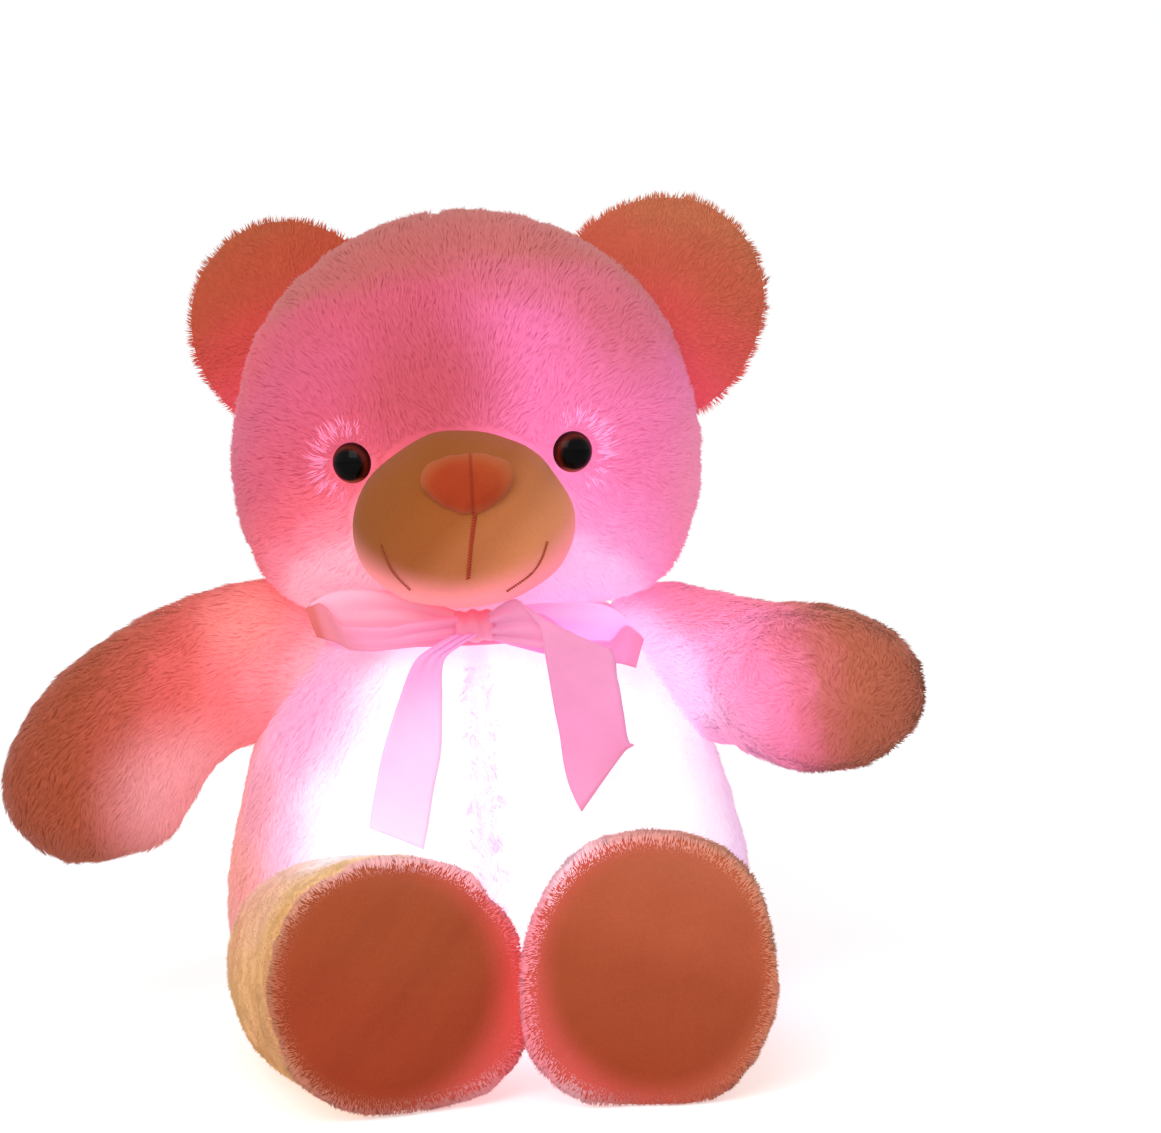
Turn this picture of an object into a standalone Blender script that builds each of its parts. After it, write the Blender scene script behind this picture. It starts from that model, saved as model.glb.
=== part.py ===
"""Light-up plush bear, seated: sewn plush skin, stuffing, ribbon bow, chest light and battery pack.

Metres, +Z up. The origin is on the floor under the middle of the seat. The bear looks along -Y, and
its own left arm and left leg are at +X. The head turns at the neck seam, the limbs swing at their
seams, the flap on the back opens, and the battery pack has a push button and a cover.
"""

import math

import bmesh
import bpy
import numpy as np
from mathutils import Euler, Vector

# Fits shared by all pieces
SEAM_GAP = 0.0003
SWING_GAP = 0.0006
CUT_OVERRUN = 0.004
POLE_SIZE = 0.0000001
FLOOR_CUT = 0.0005
PLUSH_WALL = 0.0025
RIBBON_THICKNESS = 0.0008

# Body, from the floor to the neck seam
BODY_HEIGHT = 0.148
BODY_HALF_WIDTH = 0.0925
BELLY_DEPTH = 0.069
BACK_DEPTH = 0.066
BACK_FLAT = 0.060
NECK_RADIUS = 0.042
BODY_SQUARENESS = 2.15
BODY_HEIGHT_SHARES = (0.0, 0.020, 0.14, 0.34, 0.58, 0.76, 0.90, 1.0)
BODY_WIDTH_SHARES = (0.0, 0.55, 0.95, 1.0, 0.915, 0.81, 0.64)
BODY_DEPTH_SHARES = (0.0, 0.50, 0.88, 0.99, 0.98, 0.88, 0.74)

# Head, from the neck seam to the crown
HEAD_HEIGHT = 0.139
HEAD_HALF_WIDTH = 0.081
HEAD_HALF_DEPTH = 0.066
HEAD_SQUARENESS = 2.2
HEAD_HEIGHT_SHARES = (0.0, 0.055, 0.26, 0.48, 0.74, 0.93, 1.0)
HEAD_WIDTH_SHARES = (0.84, 1.0, 1.0, 0.85, 0.48, 0.0)
HEAD_DEPTH_SHARES = (0.80, 0.97, 1.0, 0.86, 0.50, 0.0)
HEAD_CENTRE_SHARE = 0.48

# Ears: one dished pad, its places, its turn to the side, and its lean away from upright
EAR_HALF_WIDTH = 0.037
EAR_HALF_HEIGHT = 0.039
EAR_HALF_THICKNESS = 0.008
EAR_DISH = 0.007
EAR_LEFT_OUT = 0.070
EAR_RIGHT_OUT = 0.059
EAR_UP = 0.1005
EAR_BACK = 0.006
EAR_LEAN = math.radians(38)
EAR_TURN_LEFT = math.radians(4)
EAR_TURN_RIGHT = math.radians(12)

# Muzzle, nose and mouth. Shares are of the muzzle's half width and half height, from its centre
MUZZLE_HALF_WIDTH = 0.0375
MUZZLE_HALF_HEIGHT = 0.0305
MUZZLE_REACH = 0.036
MUZZLE_UP = 0.0356
MUZZLE_FRONT = 0.060
MUZZLE_WALL = 0.0016
MUZZLE_TAPER_SHARE = 0.10
NOSE_HALF_WIDTH = 0.0147
NOSE_HALF_HEIGHT = 0.0102
NOSE_HALF_DEPTH = 0.0055
NOSE_UP = 0.0138
NOSE_TAPER_SHARE = 0.30
THREAD_RADIUS = 0.0007
MOUTH_LINE_SHARES = ((0.05, 0.13), (0.0, -0.22), (-0.04, -0.58))
SMILE_LEFT_SHARES = ((0.69, -0.25), (0.63, -0.43), (0.52, -0.60), (0.30, -0.78))
SMILE_RIGHT_SHARES = ((-0.80, -0.19), (-0.74, -0.39), (-0.67, -0.54), (-0.56, -0.70))

# Safety eyes with a stem and a lock washer behind the skin
EYE_RADIUS = 0.0070
EYE_HEIGHT = 0.0048
EYE_LEFT_OUT = 0.0360
EYE_RIGHT_OUT = 0.0386
EYE_UP = 0.0560
EYE_SINK = 0.0005
EYE_STEM_RADIUS = 0.0020
EYE_STEM_LENGTH = 0.0125
WASHER_RADIUS = 0.0080
WASHER_THICKNESS = 0.0014
WASHER_SETBACK = 0.0010

# Rings of a limb's round root, as turns from the limb's direction: the seam's mouth, and the closed end
MOUTH_TURNS = (math.radians(142), math.radians(124), math.radians(107))
ROOT_TURNS = (math.pi, math.radians(161), *MOUTH_TURNS)

# Arms: one curved form, from the seam's centre to the tip, and how each one leaves the shoulder. A
# shoulder's drop is from the neck seam, and an arm's turns are about Z, Y and its own length
ARM_LENGTH = 0.104
ARM_ROOT_RADIUS = 0.0260
ARM_HALF_WIDTH = 0.0345
ARM_HALF_THICKNESS = 0.0275
ARM_BEND = math.radians(60)
ARM_PLACE_SHARES = (0.0, 0.34, 0.66, 0.88, 1.0)
ARM_SWELL_SHARES = (0.87, 1.0, 0.82, 0.0)
SHOULDER_OUT = 0.068
SHOULDER_LEFT_DROP = 0.0260
SHOULDER_RIGHT_DROP = 0.0218
SHOULDER_BACK = 0.004
ARM_LEFT_TURNS = (math.radians(-24), math.radians(5), math.radians(-90))
ARM_RIGHT_TURNS = (math.radians(184), math.radians(5), 0)

# Legs: length from the seam's centre to the sole
LEG_LENGTH = 0.090
LEG_ROOT_RADIUS = 0.030
FOOT_HALF_WIDTH = 0.0392
FOOT_HALF_HEIGHT = 0.0412
LEG_SQUARENESS = 2.4
LEG_PLACE_SHARES = (0.0, 0.34, 0.66, 0.90, 1.0)
LEG_SWELL_SHARES = (0.86, 0.96, 1.0, 0.985)
HIP_LEFT_OUT = 0.056
HIP_RIGHT_OUT = 0.058
HIP_FORWARD = 0.058
LEG_RISE = math.radians(6)
LEG_LEFT_TOE_IN = math.radians(3)
LEG_RIGHT_TOE_IN = math.radians(17)
SOLE_CROWN = 0.0025
SOLE_THICKNESS = 0.0020
SOLE_RING_SHARES = (0.75, 0.40)

# How far each limb can swing up and down at its seam
ARM_LEFT_SWINGS = (math.radians(25), math.radians(15))
ARM_RIGHT_SWINGS = (math.radians(25), math.radians(8))
HEAD_TURN = math.radians(15)
LEG_SWING_UP = math.radians(18)
LEG_SWING_DOWN = math.radians(20)
SWING_STEP = math.radians(10)

# Ribbon: neck band, knot and loops. The knot's drop is from the neck seam, and a loop's rise is from
# the knot to its outer end
BAND_LOW_SHARE = 0.915
BAND_HIGH_SHARE = 0.985
RIBBON_WIDTH = 0.0240
KNOT_HALF_WIDTH = 0.0075
KNOT_HALF_HEIGHT = 0.0058
KNOT_HALF_DEPTH = 0.0060
KNOT_DROP = 0.0015
KNOT_FRONT = 0.0600
LOOP_REACH = 0.056
LOOP_OPENING = 0.0105
LOOP_ROOT_OPENING = 0.0030
LOOP_HEIGHT = 0.0160
LOOP_ROOT_HEIGHT = 0.0080
LOOP_BACKSWEEP = 0.010
LOOP_LEFT_RISE = -0.009
LOOP_RIGHT_RISE = 0.005

# Ribbon tails. A row is its middle: how far out and how far below the knot, as shares of the loops'
# reach, and how far forward, as a share of the tails' front. Then come its width, as a share of the
# ribbon's, and the way it leans
TAIL_STAND_OFF = 0.0030
TAIL_LEFT_SHARES = (
    (0.09, 0.0, 0.95, 0.35, math.radians(-80)),
    (0.30, -0.013, 1.01, 0.55, math.radians(-60)),
    (0.58, 0.052, 1.07, 1.05, math.radians(-26)),
    (0.63, 0.277, 1.09, 1.03, math.radians(-16)),
    (0.66, 0.523, 1.09, 0.98, math.radians(-6)),
    (0.69, 0.735, 1.08, 0.97, math.radians(1)),
    (0.74, 0.937, 1.07, 1.17, math.radians(52)),
)
TAIL_RIGHT_SHARES = (
    (-0.06, 0.039, 0.95, 0.35, 0),
    (-0.17, 0.092, 1.00, 0.38, 0),
    (-0.29, 0.183, 1.03, 0.42, 0),
    (-0.354, 0.413, 1.05, 0.62, 0),
    (-0.421, 0.717, 1.07, 0.83, 0),
    (-0.486, 0.981, 1.08, 0.84, 0),
    (-0.54, 1.243, 1.07, 0.82, math.radians(-25)),
)

# Back opening, pocket lining and flap with its hook-and-loop strips. The pocket's size is the
# battery pack's and its fits
POCKET_MIDDLE_UP = 0.0650
LINING_WALL = 0.0010
FLAP_MARGIN = 0.0050
FLAP_THICKNESS = 0.0030
FLAP_CORNER = 0.0080
STRIP_WIDTH = 0.0300
STRIP_HEIGHT = 0.0080
STRIP_THICKNESS = 0.0010
FLAP_LAP = 0.0110

# Battery pack for three small cells side by side, with a switch bay beside them
PACK_WALL = 0.0015
PACK_FIT = 0.0010
PACK_SIDE_FIT = 0.0003
FLAP_ROOM = 0.0068
CELL_COUNT = 3
CELL_RADIUS = 0.00525
CELL_LENGTH = 0.0435
CELL_TIP_RADIUS = 0.0019
CELL_TIP_HEIGHT = 0.0010
CELL_PITCH = 0.0110
CELL_ROOM = 0.0004
SPRING_LENGTH = 0.0040
SPRING_RADIUS = 0.0036
SPRING_TIP_RADIUS = 0.0022
SPRING_WIRE = 0.0005
SPRING_TURNS = 3
SPRING_TURN_POINTS = 7
CONTACT_THICKNESS = 0.0005
CONTACT_WIDTH = 0.0080
SWITCH_BAY_WIDTH = 0.0098
SWITCH_BOARD_THICKNESS = 0.0012
SWITCH_BOARD_HEIGHT = 0.0240
SWITCH_SIDE = 0.0060
SWITCH_THICKNESS = 0.0040
BUTTON_RADIUS = 0.0038
BUTTON_FIT = 0.0003
BUTTON_PROUD = 0.0020
BUTTON_TRAVEL = 0.0015
BUTTON_UP = 0.0100
SCREW_RADIUS = 0.0011
SCREW_HEAD_RADIUS = 0.0021
SCREW_HEAD_HEIGHT = 0.0011
SCREW_LENGTH = 0.0060
SCREW_SLOT = 0.0005
SCREW_POST_RADIUS = 0.0022
SCREW_UP = 0.0015

# Chest light, aimed forwards, and its two leads
LIGHT_UP = 0.0980
LIGHT_FRONT = 0.0180
LIGHT_RADIUS = 0.0190
LIGHT_BASE_DEPTH = 0.0100
LIGHT_WALL = 0.0014
LIGHT_ROOM = 0.0004
DIFFUSER_DEPTH = 0.0200
BOARD_THICKNESS = 0.0016
LAMP_RADIUS = 0.0025
LAMP_LENGTH = 0.0080
LAMP_CIRCLE = 0.0085
LAMP_COUNT = 3
LEAD_RADIUS = 0.0007
LEAD_OUT = 0.0020
LEAD_UP = 0.0860
CHANNEL_RADIUS = 0.0050

# Faces round each form
BODY_SIDES = 24
LIMB_SIDES = 16
SMALL_SIDES = 16
TINY_SIDES = 12
RINGS_PER_SPAN = 2
NEAR_SPAN_COUNT = 2
EAR_ROWS = 8
MUZZLE_ROWS = 10
NOSE_ROWS = 8
KNOT_ROWS = 6
LOOP_ROWS = 12
DOME_STEPS = 4
CORNER_STEPS = 4
LEAD_STEPS = 12
SHARP_EDGE = math.radians(40)

COLOURS = {
    "plush": ((0.89, 0.36, 0.55), 0.95, 0.0),
    "plush_warm": ((0.80, 0.38, 0.30), 0.95, 0.0),
    "sole_cloth": ((0.62, 0.27, 0.17), 0.95, 0.0),
    "muzzle_cloth": ((0.70, 0.44, 0.24), 0.90, 0.0),
    "nose_cloth": ((0.72, 0.26, 0.13), 0.80, 0.0),
    "thread": ((0.60, 0.20, 0.12), 0.80, 0.0),
    "stuffing": ((0.93, 0.92, 0.90), 1.0, 0.0),
    "ribbon": ((0.93, 0.55, 0.76), 0.45, 0.0),
    "eye_plastic": ((0.02, 0.012, 0.01), 0.08, 0.0),
    "washer_plastic": ((0.85, 0.85, 0.83), 0.5, 0.0),
    "lining_cloth": ((0.88, 0.80, 0.82), 0.9, 0.0),
    "hook_strip": ((0.86, 0.84, 0.82), 0.9, 0.0),
    "pack_plastic": ((0.90, 0.90, 0.88), 0.35, 0.0),
    "button_plastic": ((0.75, 0.12, 0.14), 0.35, 0.0),
    "cell_jacket": ((0.10, 0.30, 0.22), 0.30, 0.2),
    "steel": ((0.70, 0.71, 0.73), 0.28, 1.0),
    "board": ((0.06, 0.28, 0.13), 0.40, 0.0),
    "diffuser": ((0.96, 0.94, 0.95), 0.30, 0.0),
    "lamp": ((0.95, 0.80, 0.90), 0.15, 0.0),
    "lead_red": ((0.70, 0.05, 0.04), 0.45, 0.0),
    "lead_black": ((0.03, 0.03, 0.03), 0.45, 0.0),
}


# Scene and materials


def clear_scene():
    for obj in list(bpy.data.objects):
        bpy.data.objects.remove(obj, do_unlink=True)


def material(name):
    found = bpy.data.materials.get(name)
    if found:
        return found
    colour, roughness, metallic = COLOURS[name]
    found = bpy.data.materials.new(name)
    found.use_nodes = True
    shader = found.node_tree.nodes["Principled BSDF"]
    shader.inputs["Base Color"].default_value = (*colour, 1.0)
    shader.inputs["Roughness"].default_value = roughness
    shader.inputs["Metallic"].default_value = metallic
    found.diffuse_color = (*colour, 1.0)
    return found


def place(name, mesh, finish, parent=None, at=(0, 0, 0), turn=(0, 0, 0)):
    """An object for this mesh, with its material, its place and its parent."""
    obj = bpy.data.objects.new(name, mesh)
    bpy.context.scene.collection.objects.link(obj)
    obj.location = at
    obj.rotation_euler = turn
    obj.parent = parent
    mesh.materials.clear()
    mesh.materials.append(material(finish))
    mesh.shade_smooth()
    mesh.set_sharp_from_angle(angle=SHARP_EDGE)
    return obj


def joint_frame(name, at, turn=(0, 0, 0)):
    """An empty on a joint, which carries the pieces that move there."""
    frame = bpy.data.objects.new(name, None)
    bpy.context.scene.collection.objects.link(frame)
    frame.location = at
    frame.rotation_euler = turn
    return frame


def as_cutter(obj):
    obj.hide_render = True
    obj.display_type = "WIRE"
    return obj


def boolean(target, tool, operation="DIFFERENCE"):
    modifier = target.modifiers.new(tool.name, "BOOLEAN")
    modifier.operation = operation
    modifier.object = tool


# Rings, which every stuffed form is lofted from


def through(points, start_pole=False, end_pole=False):
    """Points on one smooth curve through the given ones. It meets a pole at right angles to the axis."""
    points = [np.array(point, float) for point in points]
    mirror = np.array([1.0] + [-1.0] * (len(points[0]) - 1))
    before = mirror * points[1] if start_pole else 2 * points[0] - points[1]
    after = mirror * points[-2] if end_pole else 2 * points[-1] - points[-2]
    line = [before, *points, after]
    found = []
    for a, b, c, d in zip(line, line[1:], line[2:], line[3:]):
        for step in range(RINGS_PER_SPAN):
            t = step / RINGS_PER_SPAN
            bend, twist = 2 * a - 5 * b + 4 * c - d, 3 * b - a - 3 * c + d
            found.append(b + ((c - a) * t + bend * t**2 + twist * t**3) / 2)
    found.append(points[-1])
    return found


def oval(half_width, half_front, half_back, squareness, sides):
    """Points round a soft-cornered oval, counter-clockwise, whose second axis has two unlike halves."""
    turn = np.arange(sides) * 2 * math.pi / sides
    across, along = np.cos(turn), np.sin(turn)
    x = half_width * np.sign(across) * np.abs(across) ** (2 / squareness)
    y = np.sign(along) * np.abs(along) ** (2 / squareness)
    return x, np.where(y > 0, half_back, half_front) * y


def pushed_out(rings, distance):
    """The rings moved along the surface's normals: outwards, or inwards where distance is negative."""
    grid = np.array(rings)
    along = np.gradient(grid, axis=0)
    across = np.roll(grid, -1, axis=1) - np.roll(grid, 1, axis=1)
    normal = np.cross(across, along)
    size = np.linalg.norm(normal, axis=2, keepdims=True)
    normal = np.divide(normal, size, out=np.zeros_like(normal), where=size > 0)
    for end, beside in ((0, 1), (-1, -2)):
        if np.ptp(grid[end], axis=0).max() < POLE_SIZE:
            out = grid[end][0] - grid[beside].mean(axis=0)
            normal[end] = out / np.linalg.norm(out)
    return grid + distance * normal


def loft(name, rings, loop=False, falling=()):
    """A closed mesh over the rings. A ring of one place is a pole, and a loop joins the last to the first.

    Faces are triangles, so that two layers a gap apart are split alike and never meet. The rows of a
    layer that is lofted the other way round are falling ones.
    """
    mesh = bpy.data.meshes.new(name)
    shape = bmesh.new()
    rows = []
    for ring in rings:
        if np.ptp(ring, axis=0).max() < POLE_SIZE:
            rows.append([shape.verts.new(ring[0])] * len(ring))
        else:
            rows.append([shape.verts.new(point) for point in ring])
    pairs = list(zip(rows, rows[1:]))
    if loop:
        pairs.append((rows[-1], rows[0]))
    for row, (low, high) in enumerate(pairs):
        for i in range(len(low)):
            j = (i + 1) % len(low)
            a, b, c, d = low[i], low[j], high[j], high[i]
            if row in falling:
                a, b, c, d = b, c, d, a
            for corners in ((a, b, c), (a, c, d)):
                if len(set(corners)) == 3:
                    shape.faces.new(corners)
    shape.to_mesh(mesh)
    shape.free()
    return mesh


def shell(name, outer, inner):
    """A wall between an outer layer of rings and an inner one, joined at their rims."""
    falling = range(len(outer), len(outer) + len(inner) - 1)
    return loft(name, [*outer, *inner[::-1]], loop=True, falling=falling)


def pole(at, sides):
    return np.tile(np.array(at, float), (sides, 1))


def capped(rings):
    """The rings with a flat end at both ends, each a pole in the middle of its ring."""
    grid = [np.array(ring) for ring in rings]
    sides = len(grid[0])
    first, last = grid[0].mean(axis=0), grid[-1].mean(axis=0)
    return [pole(first, sides), *grid, pole(last, sides)]


def ball_rings(half_sizes, rows, sides, dish=0):
    """Rings of an oval ball along +X, with both faces dished towards -X by dish at its middle."""
    a, b, c = half_sizes
    turn = np.arange(sides) * 2 * math.pi / sides
    rings = []
    for row in range(rows + 1):
        angle = math.pi * row / rows
        share = 0 if row in (0, rows) else math.sin(angle)
        x = -a * math.cos(angle) - dish * (1 - share**2)
        ring = [np.full(sides, x), b * share * np.cos(turn), c * share * np.sin(turn)]
        rings.append(np.stack(ring, axis=1))
    return rings


def turned_rings(stations, sides):
    """Rings about the Y axis. Each station is a place along it and a radius."""
    turn = np.arange(sides) * 2 * math.pi / sides
    return [
        np.stack([radius * np.sin(turn), np.full(sides, along), radius * np.cos(turn)], axis=1)
        for along, radius in stations
    ]


def rod_mesh(name, stations, sides):
    """A turned piece along +Y with flat ends."""
    return loft(name, capped(turned_rings(stations, sides)))


def quarter(steps):
    """Angles from 0 to a right angle in equal steps."""
    return [math.pi / 2 * step / steps for step in range(steps + 1)]


def block_mesh(name, low, high, corner=0):
    """A box from its low corner to its high one, with its edges along Y rounded by corner."""
    mesh = bpy.data.meshes.new(name)
    shape = bmesh.new()
    bmesh.ops.create_cube(shape, size=1)
    low, high = Vector(low), Vector(high)
    for vert in shape.verts:
        vert.co = Vector(low[i] + (high[i] - low[i]) * (vert.co[i] + 0.5) for i in range(3))
    if corner:
        along = [edge for edge in shape.edges if abs(edge.verts[0].co.y - edge.verts[1].co.y) > 0]
        round_share = 0.5
        bmesh.ops.bevel(
            shape, geom=along, offset=corner, segments=CORNER_STEPS, profile=round_share, affect="EDGES",
        )
    shape.to_mesh(mesh)
    shape.free()
    return mesh


def tube_object(name, points, radius, finish, parent=None, resolution=1):
    """A round wire or thread along these points, with filled ends."""
    curve = bpy.data.curves.new(name, "CURVE")
    curve.dimensions = "3D"
    curve.bevel_depth = radius
    curve.bevel_resolution = resolution
    curve.use_fill_caps = True
    spline = curve.splines.new("POLY")
    spline.points.add(len(points) - 1)
    for spot, point in zip(spline.points, points):
        spot.co = (*point, 1)
    curve.materials.append(material(finish))
    obj = bpy.data.objects.new(name, curve)
    bpy.context.scene.collection.objects.link(obj)
    obj.parent = parent
    return obj


# Body


def body_rings():
    neck = NECK_RADIUS
    shares = list(zip(BODY_HEIGHT_SHARES, BODY_WIDTH_SHARES, BODY_DEPTH_SHARES))
    outline = [
        (BODY_HEIGHT * height, BODY_HALF_WIDTH * wide, BELLY_DEPTH * deep, BACK_DEPTH * deep)
        for height, wide, deep in shares
    ]
    outline.append((BODY_HEIGHT, neck, neck, neck))
    rings = []
    for height, width, front, back in through(outline, start_pole=True):
        height = height - FLOOR_CUT * (1 - height / BODY_HEIGHT)
        x, y = oval(width, front, back, BODY_SQUARENESS, BODY_SIDES)
        rings.append(np.stack([x, y, np.full(BODY_SIDES, height)], axis=1))
    return rings


def body_layer(distance):
    """The body's surface moved outwards by distance, still flat on the back and at the neck seam."""
    rings = pushed_out(body_rings(), distance)
    rings[:, :, 1] = np.minimum(rings[:, :, 1], BACK_FLAT + distance)
    rings[-1, :, 2] = BODY_HEIGHT
    return rings


def floor_cutter():
    reach = BODY_HEIGHT + HEAD_HEIGHT
    low = (-reach, -reach, -reach)
    return as_cutter(place("floor_cutter", block_mesh("floor_cutter", low, (reach, reach, 0)), "plush"))


def make_body(cutters, floor):
    outer, inner = body_layer(0), body_layer(-PLUSH_WALL)
    cover = place("body_cover", shell("body_cover", outer, inner), "plush")
    core = [*body_layer(-PLUSH_WALL - SEAM_GAP), pole((0, 0, BODY_HEIGHT), BODY_SIDES)]
    stuffing = place("body_stuffing", loft("body_stuffing", core), "stuffing")
    for piece in (cover, stuffing):
        for tool in cutters:
            boolean(piece, tool)
    boolean(cover, floor)
    return cover, stuffing


# Head


def head_rings():
    neck = NECK_RADIUS
    shares = list(zip(HEAD_HEIGHT_SHARES[1:], HEAD_WIDTH_SHARES, HEAD_DEPTH_SHARES))
    outline = [(0, neck, neck)]
    for height, wide, deep in shares:
        outline.append((HEAD_HEIGHT * height, HEAD_HALF_WIDTH * wide, HEAD_HALF_DEPTH * deep))
    rings = []
    for height, width, depth in through(outline, end_pole=True):
        x, y = oval(width, depth, depth, HEAD_SQUARENESS, BODY_SIDES)
        rings.append(np.stack([x, y, np.full(BODY_SIDES, height + SEAM_GAP)], axis=1))
    return rings


def head_layer(distance):
    rings = pushed_out(head_rings(), distance)
    rings[0, :, 2] = SEAM_GAP
    return rings


def head_form(name, distance):
    """The whole head, grown by distance, to cut what is sewn on it."""
    rings = head_layer(distance)
    return loft(name, [pole((0, 0, SEAM_GAP), BODY_SIDES), *rings])


def on_head(out, up):
    """The place on the face at this distance out and up, and the direction out of the skin there."""
    middle = HEAD_HEIGHT * HEAD_CENTRE_SHARE
    share = (out / HEAD_HALF_WIDTH) ** 2 + ((up - middle) / (HEAD_HEIGHT - middle)) ** 2
    front = -HEAD_HALF_DEPTH * math.sqrt(1 - share)
    away = Vector((out / HEAD_HALF_WIDTH**2, front / HEAD_HALF_DEPTH**2, (up - middle) / middle**2))
    return Vector((out, front, up + SEAM_GAP)), away.normalized()


def make_head(frame):
    outer, inner = head_layer(0), head_layer(-PLUSH_WALL)
    cover = place("head_cover", shell("head_cover", outer, inner), "plush", frame)
    core = [pole((0, 0, SEAM_GAP), BODY_SIDES), *head_layer(-PLUSH_WALL - SEAM_GAP)]
    stuffing = place("head_stuffing", loft("head_stuffing", core), "stuffing", frame)
    return cover, stuffing


def make_ear(name, side, out, turn, frame, head):
    sizes = (EAR_HALF_THICKNESS, EAR_HALF_WIDTH, EAR_HALF_HEIGHT)
    rings = ball_rings(sizes, EAR_ROWS, SMALL_SIDES, EAR_DISH)
    facing = Euler((side * -EAR_LEAN, 0, -math.pi / 2 + side * turn))
    ear = place(name, loft(name, rings), "plush_warm", frame, (side * out, EAR_BACK, EAR_UP), facing)
    boolean(ear, head)


def muzzle_centre():
    return Vector((0, -MUZZLE_FRONT, MUZZLE_UP))


def tapered(points, half_height, share):
    """The points with their X narrowed towards the top and widened towards the bottom."""
    scaled = np.array(points)
    scaled[..., 0] *= 1 - share * scaled[..., 2] / half_height
    return scaled


def muzzle_rings(distance):
    """Rings of the muzzle along -Y in the head's frame, grown by distance."""
    grown = [size + distance for size in (MUZZLE_REACH, MUZZLE_HALF_WIDTH, MUZZLE_HALF_HEIGHT)]
    rings = np.array(ball_rings(grown, MUZZLE_ROWS, SMALL_SIDES))
    turned = np.stack([rings[:, :, 1], -rings[:, :, 0], rings[:, :, 2]], axis=2)
    return tapered(turned, MUZZLE_HALF_HEIGHT, MUZZLE_TAPER_SHARE) + np.array(muzzle_centre())


def on_muzzle(out, up, distance):
    """The place on the muzzle's front at this distance out and up from its centre, grown by distance."""
    flat = out / (1 - MUZZLE_TAPER_SHARE * up / MUZZLE_HALF_HEIGHT)
    share = (flat / (MUZZLE_HALF_WIDTH + distance)) ** 2 + (up / (MUZZLE_HALF_HEIGHT + distance)) ** 2
    front = (MUZZLE_REACH + distance) * math.sqrt(max(0, 1 - share))
    return muzzle_centre() + Vector((out, -front, up))


def make_muzzle(frame, head):
    inner = loft("muzzle_hollow", muzzle_rings(-MUZZLE_WALL))
    hollow = as_cutter(place("muzzle_hollow", inner, "stuffing", frame))
    cover = place("muzzle_cover", loft("muzzle_cover", muzzle_rings(0)), "muzzle_cloth", frame)
    boolean(cover, hollow)
    boolean(cover, head)
    core = loft("muzzle_stuffing", muzzle_rings(-MUZZLE_WALL - SEAM_GAP))
    stuffing = place("muzzle_stuffing", core, "stuffing", frame)
    boolean(stuffing, head)


def make_nose(frame):
    grown = loft("muzzle_clear", muzzle_rings(SEAM_GAP))
    clear = as_cutter(place("muzzle_clear", grown, "muzzle_cloth", frame))
    seat = on_muzzle(0, NOSE_UP, 0)
    away = (seat - muzzle_centre()).normalized()
    sizes = (NOSE_HALF_DEPTH, NOSE_HALF_WIDTH, NOSE_HALF_HEIGHT)
    rings = np.array(ball_rings(sizes, NOSE_ROWS, SMALL_SIDES))
    turned = np.stack([rings[:, :, 1], -rings[:, :, 0], rings[:, :, 2]], axis=2)
    shaped = tapered(turned, NOSE_HALF_HEIGHT, -NOSE_TAPER_SHARE)
    turn = (-away).to_track_quat("Y", "Z").to_euler()
    nose = place("nose", loft("nose", shaped), "nose_cloth", frame, seat, turn)
    boolean(nose, clear)


def make_stitches(name, shares, frame):
    """Embroidery thread that lies on the muzzle through these places."""
    lift = SEAM_GAP + THREAD_RADIUS
    spots = through([(share * MUZZLE_HALF_WIDTH, up * MUZZLE_HALF_HEIGHT) for share, up in shares])
    tube_object(name, [on_muzzle(out, up, lift) for out, up in spots], THREAD_RADIUS, "thread", frame)


def make_eye(side_name, out, frame, cover, stuffing):
    """A domed eye whose stem goes through the skin into a lock washer, with the holes for them."""
    at, away = on_head(out, EYE_UP)
    turn = away.to_track_quat("Y", "Z").to_euler()
    back = -EYE_SINK
    angles = quarter(DOME_STEPS)[:-1]
    dome = [(back + EYE_HEIGHT * math.sin(angle), EYE_RADIUS * math.cos(angle)) for angle in angles]
    stem_end = back - EYE_STEM_LENGTH
    stations = [(stem_end, EYE_STEM_RADIUS), (back, EYE_STEM_RADIUS), *dome]
    name = f"eye_{side_name}"
    place(name, rod_mesh(name, stations, SMALL_SIDES), "eye_plastic", frame, at, turn)
    front = -PLUSH_WALL - WASHER_SETBACK
    rear = front - WASHER_THICKNESS
    hole = EYE_STEM_RADIUS + SEAM_GAP
    corners = [(rear, hole), (rear, WASHER_RADIUS), (front, WASHER_RADIUS), (front, hole)]
    washer_rings = turned_rings(corners, SMALL_SIDES)
    name = f"eye_washer_{side_name}"
    place(name, loft(name, washer_rings, loop=True), "washer_plastic", frame, at, turn)
    seat = back - SEAM_GAP
    rim = EYE_RADIUS + SEAM_GAP
    skin_hole = [(-PLUSH_WALL - CUT_OVERRUN, hole), (seat, hole), (seat, rim), (CUT_OVERRUN, rim)]
    name = f"eye_hole_{side_name}"
    boolean(cover, as_cutter(place(name, rod_mesh(name, skin_hole, SMALL_SIDES), "plush", frame, at, turn)))
    room = WASHER_RADIUS + SEAM_GAP
    floor = rear - SEAM_GAP
    core_hole = [(stem_end - SEAM_GAP, hole), (floor, hole), (floor, room), (CUT_OVERRUN, room)]
    name = f"washer_room_{side_name}"
    tool = place(name, rod_mesh(name, core_hole, SMALL_SIDES), "stuffing", frame, at, turn)
    boolean(stuffing, as_cutter(tool))


# Limbs, each modelled along +X from the centre of its seam


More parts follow.
